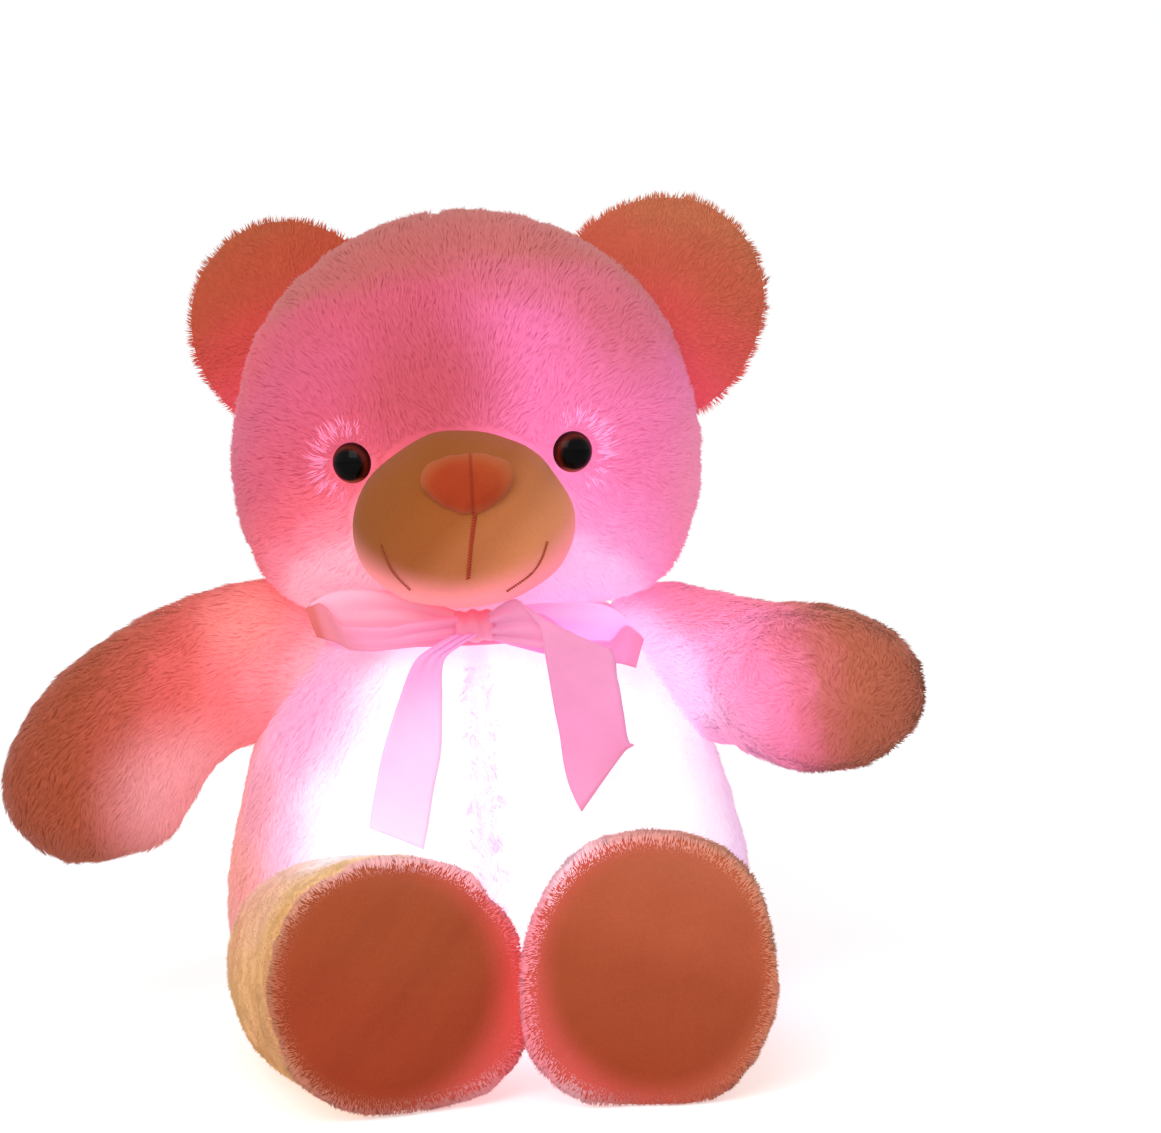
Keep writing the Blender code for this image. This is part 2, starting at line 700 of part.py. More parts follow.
def limb_rings(length, root, places, swells, half_y, half_z, squareness, bend, mouth):
    """Rings of a limb: a round root from the mouth's angle, then a swelling length that bends towards -Z."""
    outline = [(0, root, root)]
    outline += [(length * at, half_y * swell, half_z * swell) for at, swell in zip(places[1:], swells)]
    closed = swells[-1] == 0
    rows = [(root * math.cos(angle), root * math.sin(angle), root * math.sin(angle)) for angle in mouth]
    rows += through(outline, end_pole=closed)
    rings = []
    for along, wide, tall in rows:
        tall = max(tall, 0)
        y, z = oval(max(wide, 0), tall, tall, 2 if along <= 0 else squareness, LIMB_SIDES)
        turned = bend * max(along, 0) / length
        radius = length / bend if bend else 0
        x_middle = radius * math.sin(turned) if turned else along
        z_middle = -radius * (1 - math.cos(turned))
        ring = [x_middle + z * math.sin(turned), y, z_middle + z * math.cos(turned)]
        rings.append(np.stack(ring, axis=1))
    return np.array(rings)


def arm_rings(turns):
    return limb_rings(
        ARM_LENGTH, ARM_ROOT_RADIUS, ARM_PLACE_SHARES, ARM_SWELL_SHARES,
        ARM_HALF_THICKNESS, ARM_HALF_WIDTH, 2, ARM_BEND, turns,
    )


def leg_rings(turns):
    return limb_rings(
        LEG_LENGTH, LEG_ROOT_RADIUS, LEG_PLACE_SHARES, LEG_SWELL_SHARES,
        FOOT_HALF_WIDTH, FOOT_HALF_HEIGHT, LEG_SQUARENESS, 0, turns,
    )


def root_pole(rings):
    """Makes the first ring of a round root one place."""
    rings[0] = rings[0].mean(axis=0)
    return rings


def hull_mesh(name, points):
    """The closed convex form round these points."""
    mesh = bpy.data.meshes.new(name)
    shape = bmesh.new()
    for point in np.unique(points, axis=0):
        shape.verts.new(point)
    hull = bmesh.ops.convex_hull(shape, input=shape.verts)
    left_over = hull["geom_interior"] + hull["geom_unused"]
    inside = {item for item in left_over if isinstance(item, bmesh.types.BMVert)}
    bmesh.ops.delete(shape, geom=list(inside), context="VERTS")
    bmesh.ops.recalc_face_normals(shape, faces=shape.faces)
    shape.to_mesh(mesh)
    shape.free()
    return mesh


def swing_clear(name, at, turn, grown, swings):
    """One convex form round a grown piece at every step of its swing, to clear its neighbours."""
    points = np.array(grown).reshape(-1, 3) @ np.array(turn.to_matrix()).T
    swung = np.concatenate([points @ np.array(swing.to_matrix()).T for swing in swings])
    return as_cutter(place(name, hull_mesh(name, swung), "plush", None, at))


def swing_steps(low, high, axis):
    """Turns about axis from low to high, in equal steps of at most SWING_STEP."""
    count = math.ceil((high - low) / SWING_STEP) + 1
    return [Euler(tuple(angle * part for part in axis)) for angle in np.linspace(low, high, count)]


def turned_through(*turns):
    """One turn that stands for these, of which the last comes first."""
    whole = Euler().to_matrix()
    for turn in turns:
        whole = whole @ Euler(turn).to_matrix()
    return whole.to_euler()


def make_arm(side_name, side, shoulder_drop, turns, swings, head):
    """One arm on its empty, and the form that clears the body for its swing about Y."""
    at = (side * SHOULDER_OUT, SHOULDER_BACK, BODY_HEIGHT - shoulder_drop)
    yaw, pitch, roll = turns
    up, down = swings
    turn = turned_through((0, 0, yaw), (0, pitch, 0), (roll, 0, 0))
    frame = joint_frame(f"arm_{side_name}_swing", at)
    name = f"arm_{side_name}_cover"
    outer, inner = arm_rings(MOUTH_TURNS), pushed_out(arm_rings(MOUTH_TURNS), -PLUSH_WALL)
    outer[-1], inner[-1] = outer[-1].mean(axis=0), inner[-1].mean(axis=0)
    boolean(place(name, shell(name, outer, inner), "plush_warm", frame, (0, 0, 0), turn), head)
    name = f"arm_{side_name}_stuffing"
    core = root_pole(pushed_out(root_pole(arm_rings(ROOT_TURNS)), -PLUSH_WALL - SEAM_GAP))
    core[-1] = core[-1].mean(axis=0)
    boolean(place(name, loft(name, core), "stuffing", frame, (0, 0, 0), turn), head)
    near_rows = len(ROOT_TURNS) + NEAR_SPAN_COUNT * RINGS_PER_SPAN + 1
    near = root_pole(pushed_out(root_pole(arm_rings(ROOT_TURNS)), SWING_GAP)[:near_rows])
    near = [*near, pole(near[-1].mean(axis=0), LIMB_SIDES)]
    low, high = (-up, down) if side > 0 else (-down, up)
    return swing_clear(f"arm_{side_name}_clear", at, turn, near, swing_steps(low, high, (0, 1, 0)))


def hip_height(turn):
    """The height that leaves the leg's lowest point one floor cut under the floor."""
    grid = leg_rings(MOUTH_TURNS).reshape(-1, 3) @ np.array(turn.to_matrix()).T
    return -FLOOR_CUT - float(grid[:, 2].min())


def make_leg(side_name, side, out, toe_in, floor):
    """One leg with its sole on its empty, and the cutters that clear the body for its swing about X."""
    turn = turned_through((0, 0, -math.pi / 2 - side * toe_in), (0, -LEG_RISE, 0))
    at = (side * out, -HIP_FORWARD, hip_height(turn))
    frame = joint_frame(f"leg_{side_name}_swing", at)
    name = f"leg_{side_name}_cover"
    outer = leg_rings(MOUTH_TURNS)
    inner = pushed_out(outer, -PLUSH_WALL)
    inner[-1, :, 0] = LEG_LENGTH
    cover = place(name, shell(name, outer, inner), "plush_warm", frame, (0, 0, 0), turn)
    boolean(cover, floor)
    name = f"leg_{side_name}_stuffing"
    core = root_pole(pushed_out(root_pole(leg_rings(ROOT_TURNS)), -PLUSH_WALL - SEAM_GAP))
    core[-1, :, 0] = LEG_LENGTH - SEAM_GAP
    core = [*core, pole((LEG_LENGTH - SEAM_GAP, 0, 0), LIMB_SIDES)]
    place(name, loft(name, core), "stuffing", frame, (0, 0, 0), turn)
    make_sole(side_name, frame, turn, outer[-1])
    near = root_pole(pushed_out(root_pole(leg_rings(ROOT_TURNS)), SWING_GAP))
    near = [*near, pole((LEG_LENGTH, 0, 0), LIMB_SIDES)]
    swings = swing_steps(-LEG_SWING_UP, LEG_SWING_DOWN, (1, 0, 0))
    return swing_clear(f"leg_{side_name}_clear", at, turn, near, swings)


def make_sole(side_name, frame, turn, rim):
    """The sole panel over the leg's open end, domed a little."""
    back = LEG_LENGTH + SEAM_GAP
    rows = [(back, 1.0), (back + SOLE_THICKNESS, 1.0)]
    rows += [(back + SOLE_THICKNESS + SOLE_CROWN * (1 - share**2), share) for share in SOLE_RING_SHARES]
    rings = [pole((back, 0, 0), LIMB_SIDES)]
    for along, share in rows:
        ring = rim * share
        ring[:, 0] = along
        rings.append(ring)
    rings.append(pole((back + SOLE_THICKNESS + SOLE_CROWN, 0, 0), LIMB_SIDES))
    name = f"sole_{side_name}"
    place(name, loft(name, rings), "sole_cloth", frame, (0, 0, 0), turn)


# Ribbon


def make_band(cutters):
    """The ribbon round the neck, lying on the body's shoulders."""
    inner, outer = body_layer(SEAM_GAP), body_layer(SEAM_GAP + RIBBON_THICKNESS)
    rows = {}
    middle_share = (BAND_LOW_SHARE + BAND_HIGH_SHARE) / 2
    for label, grid in (("inner", inner), ("outer", outer)):
        heights = grid[:, 0, 2]
        rows[label] = []
        for share in (BAND_LOW_SHARE, middle_share, BAND_HIGH_SHARE):
            up = BODY_HEIGHT * share
            x = [np.interp(up, heights, grid[:, side, 0]) for side in range(BODY_SIDES)]
            y = [np.interp(up, heights, grid[:, side, 1]) for side in range(BODY_SIDES)]
            rows[label].append(np.column_stack([x, y, np.full(BODY_SIDES, up)]))
    name = "ribbon_neck_band"
    band = place(name, shell(name, rows["outer"], rows["inner"]), "ribbon")
    for tool in cutters:
        boolean(band, tool)


def ribbon_mesh(name, path, width_ways):
    """A ribbon of the shared thickness along a path. Each way is half the ribbon's width, as a vector."""
    path = [Vector(point) for point in path]
    ways = [Vector(way) for way in width_ways]
    mesh = bpy.data.meshes.new(name)
    shape = bmesh.new()
    rows = []
    for i, (point, way) in enumerate(zip(path, ways)):
        run = path[min(i + 1, len(path) - 1)] - path[max(i - 1, 0)]
        out = run.cross(way).normalized() * RIBBON_THICKNESS / 2
        corners = (-way - out, way - out, way + out, out - way)
        rows.append([shape.verts.new(point + corner) for corner in corners])
    for low, high in zip(rows, rows[1:]):
        for i in range(4):
            j = (i + 1) % 4
            shape.faces.new((low[i], low[j], high[j], high[i]))
    shape.faces.new(rows[0][::-1])
    shape.faces.new(rows[-1])
    bmesh.ops.recalc_face_normals(shape, faces=shape.faces)
    shape.to_mesh(mesh)
    shape.free()
    return mesh


def knot_height():
    return BODY_HEIGHT - KNOT_DROP


def make_knot():
    """The bow's knot, with the forms that clear it and the neck band."""
    sizes = (KNOT_HALF_WIDTH, KNOT_HALF_DEPTH, KNOT_HALF_HEIGHT)
    at = (0, -KNOT_FRONT, knot_height())
    grown = ball_rings([size + SEAM_GAP for size in sizes], KNOT_ROWS, TINY_SIDES)
    clear = as_cutter(place("knot_clear", loft("knot_clear", grown), "ribbon", None, at))
    grown = [*body_layer(2 * SEAM_GAP + RIBBON_THICKNESS), pole((0, 0, BODY_HEIGHT), BODY_SIDES)]
    band = as_cutter(place("band_clear", loft("band_clear", grown), "ribbon"))
    rings = ball_rings(sizes, KNOT_ROWS, TINY_SIDES)
    boolean(place("bow_knot", loft("bow_knot", rings), "ribbon", None, at), band)
    return clear, band


def make_loop(side_name, side, knot, rise):
    """A bow loop: the ribbon runs out in front, turns at its end and comes back behind."""
    path, ways = [], []
    start = KNOT_HALF_WIDTH / 2
    for i in range(LOOP_ROWS + 1):
        turn = math.pi * (i / LOOP_ROWS - 1 / 2)
        share = math.cos(turn)
        swell = math.sqrt(max(0, math.sin(math.pi * share)))
        opening = LOOP_ROOT_OPENING + (LOOP_OPENING - LOOP_ROOT_OPENING) * swell
        out = start + (LOOP_REACH - start) * share
        deep = LOOP_BACKSWEEP * share**2 - KNOT_FRONT + math.sin(turn) * opening / 2
        path.append((side * out, deep, knot_height() + rise * share))
        ways.append((0, 0, (LOOP_ROOT_HEIGHT + (LOOP_HEIGHT - LOOP_ROOT_HEIGHT) * share) / 2))
    name = f"bow_loop_{side_name}"
    loop = place(name, ribbon_mesh(name, path, ways), "ribbon")
    boolean(loop, knot)


def make_tails(knot, band):
    """The two hanging ends: the left one falls over the front of its loop, the right one down the belly."""
    front = KNOT_FRONT + LOOP_OPENING / 2 + TAIL_STAND_OFF
    half = RIBBON_WIDTH / 2
    for name, rows in (("ribbon_tail_left", TAIL_LEFT_SHARES), ("ribbon_tail_right", TAIL_RIGHT_SHARES)):
        path = []
        for out, down, deep, *_ in rows:
            path.append((out * LOOP_REACH, -front * deep, knot_height() - down * LOOP_REACH))
        ways = [(math.cos(lean) * half * wide, 0, math.sin(lean) * half * wide) for *_, wide, lean in rows]
        tail = place(name, ribbon_mesh(name, path, ways), "ribbon")
        boolean(tail, knot)
        boolean(tail, band)


# Back opening


def pack_room():
    """The cells' room inside the pack: its width without the switch bay, its length and its depth."""
    length = CONTACT_THICKNESS * 2 + SPRING_LENGTH + CELL_LENGTH + CELL_TIP_HEIGHT + CELL_ROOM * 2
    return CELL_COUNT * CELL_PITCH, length, 2 * CELL_RADIUS + CELL_ROOM


def pocket_sizes():
    """The pocket's width, height and depth: the closed pack's with its fits, under the flap."""
    bay, length, deep = pack_room()
    seams = 2 * (SEAM_GAP + LINING_WALL)
    width = bay + PACK_WALL + SWITCH_BAY_WIDTH + 2 * (PACK_WALL + PACK_SIDE_FIT) + seams
    height = length + 2 * (PACK_WALL + PACK_FIT) + seams
    below = SEAM_GAP + LINING_WALL + SEAM_GAP + PACK_WALL
    above = SEAM_GAP + PACK_WALL + SEAM_GAP + SCREW_HEAD_HEIGHT
    return width, height, below + deep + above + FLAP_ROOM


def pocket_low():
    return POCKET_MIDDLE_UP - pocket_sizes()[1] / 2


def make_pocket(cover, stuffing):
    """The opening in the skin, the fabric pocket sewn into it and the room for it in the stuffing."""
    width, height, depth = pocket_sizes()
    half, low, high = width / 2, pocket_low(), pocket_low() + height
    floor = BACK_FLAT - depth
    past = BACK_FLAT + CUT_OVERRUN
    opening = block_mesh("pocket_opening", (-half, floor, low), (half, past, high))
    opening = as_cutter(place("pocket_opening", opening, "lining_cloth"))
    boolean(cover, opening)
    boolean(stuffing, opening)
    gap, wall = SEAM_GAP, LINING_WALL
    outer = (-half + gap, floor + gap, low + gap), (half - gap, BACK_FLAT, high - gap)
    gap = gap + wall
    inner = (-half + gap, floor + gap, low + gap), (half - gap, past, high - gap)
    lining = place("battery_pocket", block_mesh("battery_pocket", *outer), "lining_cloth")
    hollow = place("pocket_hollow", block_mesh("pocket_hollow", *inner), "lining_cloth")
    boolean(lining, as_cutter(hollow))
    return lining


def make_flap(cover):
    """The flap over the opening, hinged along its top edge, with its fastener strips."""
    width, height, _ = pocket_sizes()
    half = width / 2 + FLAP_MARGIN
    top = pocket_low() + height + FLAP_MARGIN
    low = pocket_low() - FLAP_LAP
    inner = BACK_FLAT + SEAM_GAP
    frame = joint_frame("flap_hinge", (0, inner, top))
    panel = block_mesh("back_flap", (-half, 0, low - top), (half, FLAP_THICKNESS, 0), FLAP_CORNER)
    flap = place("back_flap", panel, "plush", frame)
    strip_low = low + (pocket_low() - low - STRIP_HEIGHT) / 2
    strip_high = strip_low + STRIP_HEIGHT
    side, gap = STRIP_WIDTH / 2, SEAM_GAP
    corners = (-side, 0, strip_low - top), (side, STRIP_THICKNESS, strip_high - top)
    place("hook_strip", block_mesh("hook_strip", *corners), "hook_strip", frame)
    low_corner = (-side - gap, -CUT_OVERRUN, strip_low - gap - top)
    high_corner = (side + gap, STRIP_THICKNESS + gap, strip_high + gap - top)
    seat = block_mesh("hook_seat", low_corner, high_corner)
    boolean(flap, as_cutter(place("hook_seat", seat, "hook_strip", frame)))
    deep = BACK_FLAT - STRIP_THICKNESS
    corners = (-side, deep, strip_low), (side, BACK_FLAT, strip_high)
    place("loop_strip", block_mesh("loop_strip", *corners), "hook_strip")
    low_corner = (-side - gap, deep - gap, strip_low - gap)
    high_corner = (side + gap, BACK_FLAT + CUT_OVERRUN, strip_high + gap)
    seat = block_mesh("loop_seat", low_corner, high_corner)
    boolean(cover, as_cutter(place("loop_seat", seat, "hook_strip")))


# Battery pack, seen from behind: the cells lie along Z, the switch bay is at +X


def pack_place():
    """The low corner of the room inside the pack. Y grows towards the flap."""
    width, _, depth = pocket_sizes()
    left = PACK_WALL + PACK_SIDE_FIT + LINING_WALL + SEAM_GAP - width / 2
    back = BACK_FLAT - depth + SEAM_GAP + LINING_WALL + SEAM_GAP + PACK_WALL
    low = pocket_low() + SEAM_GAP + LINING_WALL + PACK_FIT + PACK_WALL
    return left, back, low


def make_pack(lining):
    """The case with its cell bay and its switch bay, and all that it holds."""
    left, back, low = pack_place()
    bay, length, depth = pack_room()
    wall = PACK_WALL
    rim, high = back + depth, low + length
    bay_low = left + bay + wall
    bay_high = bay_low + SWITCH_BAY_WIDTH
    corners = (left - wall, back - wall, low - wall), (bay_high + wall, rim, high + wall)
    case = place("battery_case", block_mesh("battery_case", *corners), "pack_plastic")
    cell_bay = block_mesh("cell_bay", (left, back, low), (left + bay, rim + CUT_OVERRUN, high))
    boolean(case, as_cutter(place("cell_bay", cell_bay, "pack_plastic")))
    switch_bay = block_mesh("switch_bay", (bay_low, back, low), (bay_high, rim - wall, high))
    boolean(case, as_cutter(place("switch_bay", switch_bay, "pack_plastic")))
    make_pack_cover(case, left, bay, rim, back, low, length)
    make_cells(left, back, low)
    make_switch(case, bay_low, back, rim, high)
    narrow = CHANNEL_RADIUS / 2
    stations = [(back - wall - CUT_OVERRUN, narrow), (back + wall, narrow)]
    lead_hole = rod_mesh("lead_hole", stations, TINY_SIDES)
    lead_hole = as_cutter(place("lead_hole", lead_hole, "pack_plastic", None, (lead_x(), 0, LEAD_UP)))
    boolean(case, lead_hole)
    boolean(lining, lead_hole)


def lead_x():
    """The leads leave the pack behind the switch bay."""
    return pack_place()[0] + pack_room()[0] + PACK_WALL + SWITCH_BAY_WIDTH / 2


def make_pack_cover(case, left, bay, rim, back, low, length):
    """The screwed cover over the cells, which lifts off along +Y, and the post for its screw."""
    wall, gap = PACK_WALL, SEAM_GAP
    frame = joint_frame("battery_cover_lift", (left + bay / 2, rim + gap, low + length / 2))
    half, tall = bay / 2 + wall / 2, length / 2 + wall
    panel = block_mesh("battery_cover", (-half, 0, -tall), (half, wall, tall))
    cover = place("battery_cover", panel, "pack_plastic", frame)
    x, z = half, SCREW_UP - length / 2
    reach = SCREW_POST_RADIUS
    tab = block_mesh("cover_tab", (0, 0, -tall), (half + reach, wall, z + reach))
    boolean(cover, as_cutter(place("cover_tab", tab, "pack_plastic", frame)), "UNION")
    post = rod_mesh("screw_post", [(back - rim - wall / 2, reach), (0, reach)], TINY_SIDES)
    post_at = (x, -gap, z)
    boolean(case, as_cutter(place("screw_post", post, "pack_plastic", frame, post_at)), "UNION")
    at = (x, 0, z)
    clear = SCREW_RADIUS + gap
    hole = rod_mesh("screw_clear", [(-SCREW_LENGTH, clear), (wall + CUT_OVERRUN, clear)], TINY_SIDES)
    hole = as_cutter(place("screw_clear", hole, "steel", frame, at))
    boolean(case, hole)
    boolean(cover, hole)
    head = wall + gap
    top = head + SCREW_HEAD_HEIGHT
    stations = [(head - SCREW_LENGTH, SCREW_RADIUS), (head, SCREW_RADIUS), (head, SCREW_HEAD_RADIUS)]
    stations.append((top, SCREW_HEAD_RADIUS - SCREW_SLOT))
    screw = place("cover_screw", rod_mesh("cover_screw", stations, TINY_SIDES), "steel", frame, at)
    reach, half = SCREW_HEAD_RADIUS + SCREW_SLOT, SCREW_SLOT / 2
    slot = block_mesh("screw_slot", (-reach, top - SCREW_SLOT, -half), (reach, top + CUT_OVERRUN, half))
    boolean(screw, as_cutter(place("screw_slot", slot, "steel", frame, at)))


def spring_points(x, y, low):
    """A cone-shaped coil that climbs from its wide end to its narrow one."""
    count = SPRING_TURNS * SPRING_TURN_POINTS
    height = SPRING_LENGTH - 2 * SPRING_WIRE
    points = []
    for i in range(count + 1):
        share = i / count
        turn = 2 * math.pi * SPRING_TURNS * share
        radius = SPRING_RADIUS + (SPRING_TIP_RADIUS - SPRING_RADIUS) * share - SPRING_WIRE
        up = low + SPRING_WIRE + height * share
        points.append((x + radius * math.cos(turn), y + radius * math.sin(turn), up))
    return points


def make_cells(left, back, low):
    """The cells, each between a spring below and a contact above."""
    gap = SEAM_GAP / 2
    middle = back + CELL_RADIUS + CELL_ROOM / 2
    spring_low = low + gap + CONTACT_THICKNESS + gap
    cell_low = spring_low + SPRING_LENGTH + gap
    contact_high = cell_low + CELL_LENGTH + CELL_TIP_HEIGHT + gap
    half = CONTACT_WIDTH / 2
    stations = [(0, CELL_RADIUS), (CELL_LENGTH, CELL_RADIUS), (CELL_LENGTH, CELL_TIP_RADIUS)]
    stations.append((CELL_LENGTH + CELL_TIP_HEIGHT, CELL_TIP_RADIUS))
    upright = (math.pi / 2, 0, 0)
    for i in range(CELL_COUNT):
        x = left + CELL_PITCH * (i + 1 / 2)
        tube_object(f"cell_spring_{i + 1}", spring_points(x, middle, spring_low), SPRING_WIRE, "steel")
        name = f"battery_cell_{i + 1}"
        cell = rod_mesh(name, stations, SMALL_SIDES)
        place(name, cell, "cell_jacket", None, (x, middle, cell_low), upright)
    first, last = left + CELL_PITCH / 2, left + CELL_PITCH * (CELL_COUNT - 1 / 2)
    plates = (
        ("contact_low_end", first - half, first + half, low + gap),
        ("contact_low_pair", first + CELL_PITCH - half, last + half, low + gap),
        ("contact_high_pair", first - half, first + CELL_PITCH + half, contact_high),
        ("contact_high_end", last - half, last + half, contact_high),
    )
    for name, start, end, bottom in plates:
        corners = (start, middle - half, bottom), (end, middle + half, bottom + CONTACT_THICKNESS)
        place(name, block_mesh(name, *corners), "steel")


def make_switch(case, bay_low, back, rim, high):
    """The switch board with its switch, and the push button over it."""
    gap = SEAM_GAP
    x, z = bay_low + SWITCH_BAY_WIDTH / 2, high - BUTTON_UP
    half = SWITCH_BAY_WIDTH / 2 - gap
    board_back = back + gap
    front = board_back + SWITCH_BOARD_THICKNESS
    corners = (x - half, board_back, high - gap - SWITCH_BOARD_HEIGHT), (x + half, front, high - gap)
    place("switch_board", block_mesh("switch_board", *corners), "board")
    half = SWITCH_SIDE / 2
    body_back = front + gap
    body_front = body_back + SWITCH_THICKNESS
    corners = (x - half, body_back, z - half), (x + half, body_front, z + half)
    place("switch_body", block_mesh("switch_body", *corners), "eye_plastic")
    frame = joint_frame("button_press", (x, rim, z))
    stem_back = body_front + gap - rim + BUTTON_TRAVEL
    stem = BUTTON_RADIUS / 2
    flange = BUTTON_RADIUS + 2 * BUTTON_FIT
    under = -PACK_WALL - gap
    flange_back = under - PACK_WALL / 2
    stations = [(stem_back, stem), (flange_back, stem), (flange_back, flange), (under, flange)]
    stations += [(under, BUTTON_RADIUS), (BUTTON_PROUD, BUTTON_RADIUS)]
    place("switch_button", rod_mesh("switch_button", stations, SMALL_SIDES), "button_plastic", frame)
    clear = BUTTON_RADIUS + BUTTON_FIT
    stations = [(-PACK_WALL - CUT_OVERRUN / 2, clear), (CUT_OVERRUN, clear)]
    hole = rod_mesh("button_hole", stations, SMALL_SIDES)
    boolean(case, as_cutter(place("button_hole", hole, "pack_plastic", frame)))


# Chest light


def make_light(stuffing):
    """The light in its round chamber in the stuffing, aimed forwards."""
    at = (0, -LIGHT_FRONT, LIGHT_UP)
    room, wall, gap = LIGHT_ROOM, LIGHT_WALL, SEAM_GAP
    radius, base = LIGHT_RADIUS, LIGHT_BASE_DEPTH
    chamber = [(-DIFFUSER_DEPTH - room, radius + room), (base + room, radius + room)]
    chamber = rod_mesh("light_chamber", chamber, BODY_SIDES)
    boolean(stuffing, as_cutter(place("light_chamber", chamber, "stuffing", None, at)))
    channel_end = BACK_FLAT - pocket_sizes()[2] + CUT_OVERRUN
    reach = CHANNEL_RADIUS + LEAD_OUT
    low_corner = (-reach, base - LIGHT_FRONT, LEAD_UP - reach)
    channel = block_mesh("lead_channel", low_corner, (lead_x() + reach, channel_end, LEAD_UP + reach))
    boolean(stuffing, as_cutter(place("lead_channel", channel, "stuffing")))
    deep, narrow = DIFFUSER_DEPTH - wall, radius - wall
    cup = turned_rings([(base - wall, narrow), (0, narrow), (0, radius), (base, radius)], BODY_SIDES)
    base_cup = place("light_base", loft("light_base", capped(cup)), "pack_plastic", None, at)
    slim = CHANNEL_RADIUS / 2
    hole = rod_mesh("base_lead_hole", [(-wall, slim), (base + CUT_OVERRUN, slim)], TINY_SIDES)
    hole_at = (0, -LIGHT_FRONT, LEAD_UP)
    boolean(base_cup, as_cutter(place("base_lead_hole", hole, "pack_plastic", None, hole_at)))
    angles = quarter(DOME_STEPS)
    outside = [(-gap - DIFFUSER_DEPTH * math.sin(turn), radius * math.cos(turn)) for turn in angles]
    inside = [(-gap - deep * math.sin(turn), narrow * math.cos(turn)) for turn in angles]
    dome = turned_rings([*outside[::-1], *inside], BODY_SIDES)
    place("light_diffuser", loft("light_diffuser", dome), "diffuser", None, at)
    board_front, board_radius = BOARD_THICKNESS, narrow - gap
    stations = [(board_front, board_radius), (board_front + BOARD_THICKNESS, board_radius)]
    place("lamp_board", rod_mesh("lamp_board", stations, SMALL_SIDES), "board", None, at)
    tip = LAMP_LENGTH - LAMP_RADIUS
    dome = [(-tip - LAMP_RADIUS * math.sin(turn), LAMP_RADIUS * math.cos(turn)) for turn in angles[:-1]]
    stations = [*dome[::-1], (0, LAMP_RADIUS)]
    for i in range(LAMP_COUNT):
        turn = 2 * math.pi * i / LAMP_COUNT + math.pi / 2
        x, z = LAMP_CIRCLE * math.cos(turn), LIGHT_UP + LAMP_CIRCLE * math.sin(turn)
        name = f"lamp_{i + 1}"
        lamp = rod_mesh(name, stations, TINY_SIDES)
        place(name, lamp, "lamp", None, (x, board_front - gap - LIGHT_FRONT, z))


def make_leads():
    """The red and black leads from the light's board, through the channel, to the pack's switch board."""
    end = pack_place()[1]
    start = -LIGHT_FRONT + 2 * BOARD_THICKNESS + SEAM_GAP
    turn_in = -LIGHT_FRONT + LIGHT_BASE_DEPTH + CHANNEL_RADIUS
    turn_out = end - PACK_WALL - CHANNEL_RADIUS
    for name, side in (("lead_red", 1), ("lead_black", -1)):
        beside = side * LEAD_OUT / 2
        points = []
        for i in range(LEAD_STEPS + 1):
            y = start + (end - start) * i / LEAD_STEPS
            along = min(max((y - turn_in) / (turn_out - turn_in), 0), 1)
            eased = along * along * (3 - 2 * along)
            points.append((beside + lead_x() * eased, y, LEAD_UP))
        tube_object(name, points, LEAD_RADIUS, name)


def main():
    clear_scene()
    floor = floor_cutter()
    turns = swing_steps(-HEAD_TURN, HEAD_TURN, (0, 0, 1))
    head_room = swing_clear("head_room", (0, 0, BODY_HEIGHT), Euler(), head_layer(SWING_GAP), turns)
    cutters = [
        make_arm("left", 1, SHOULDER_LEFT_DROP, ARM_LEFT_TURNS, ARM_LEFT_SWINGS, head_room),
        make_arm("right", -1, SHOULDER_RIGHT_DROP, ARM_RIGHT_TURNS, ARM_RIGHT_SWINGS, head_room),
        make_leg("left", 1, HIP_LEFT_OUT, LEG_LEFT_TOE_IN, floor),
        make_leg("right", -1, HIP_RIGHT_OUT, LEG_RIGHT_TOE_IN, floor),
    ]
    body_cover, body_stuffing = make_body(cutters, floor)
    neck = joint_frame("head_turn", (0, 0, BODY_HEIGHT))
    head_cover, head_stuffing = make_head(neck)
    head = as_cutter(place("head_clear", head_form("head_clear", SEAM_GAP), "plush", neck))
    make_ear("ear_left", 1, EAR_LEFT_OUT, EAR_TURN_LEFT, neck, head)
    make_ear("ear_right", -1, EAR_RIGHT_OUT, EAR_TURN_RIGHT, neck, head)
    make_muzzle(neck, head)
    make_nose(neck)
    make_stitches("mouth_line", MOUTH_LINE_SHARES, neck)
    make_stitches("smile_left", SMILE_LEFT_SHARES, neck)
    make_stitches("smile_right", SMILE_RIGHT_SHARES, neck)
    make_eye("left", EYE_LEFT_OUT, neck, head_cover, head_stuffing)
    make_eye("right", -EYE_RIGHT_OUT, neck, head_cover, head_stuffing)
    make_band(cutters[:2])
    knot, band = make_knot()
    make_loop("left", 1, knot, LOOP_LEFT_RISE)
    make_loop("right", -1, knot, LOOP_RIGHT_RISE)
    make_tails(knot, band)
    lining = make_pocket(body_cover, body_stuffing)
    make_flap(body_cover)
    make_pack(lining)
    make_light(body_stuffing)
    make_leads()


main()
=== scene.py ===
"""Light-up plush bear, dressed: filled skins with a real pile, velour muzzle and soles, satin bow.

Metres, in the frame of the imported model: +Z up, the bear looks along -Y and its own left is at +X.
"""

import math

import bmesh
import bpy
import numpy as np
from mathutils import Euler, Matrix, Vector
from mathutils.bvhtree import BVHTree


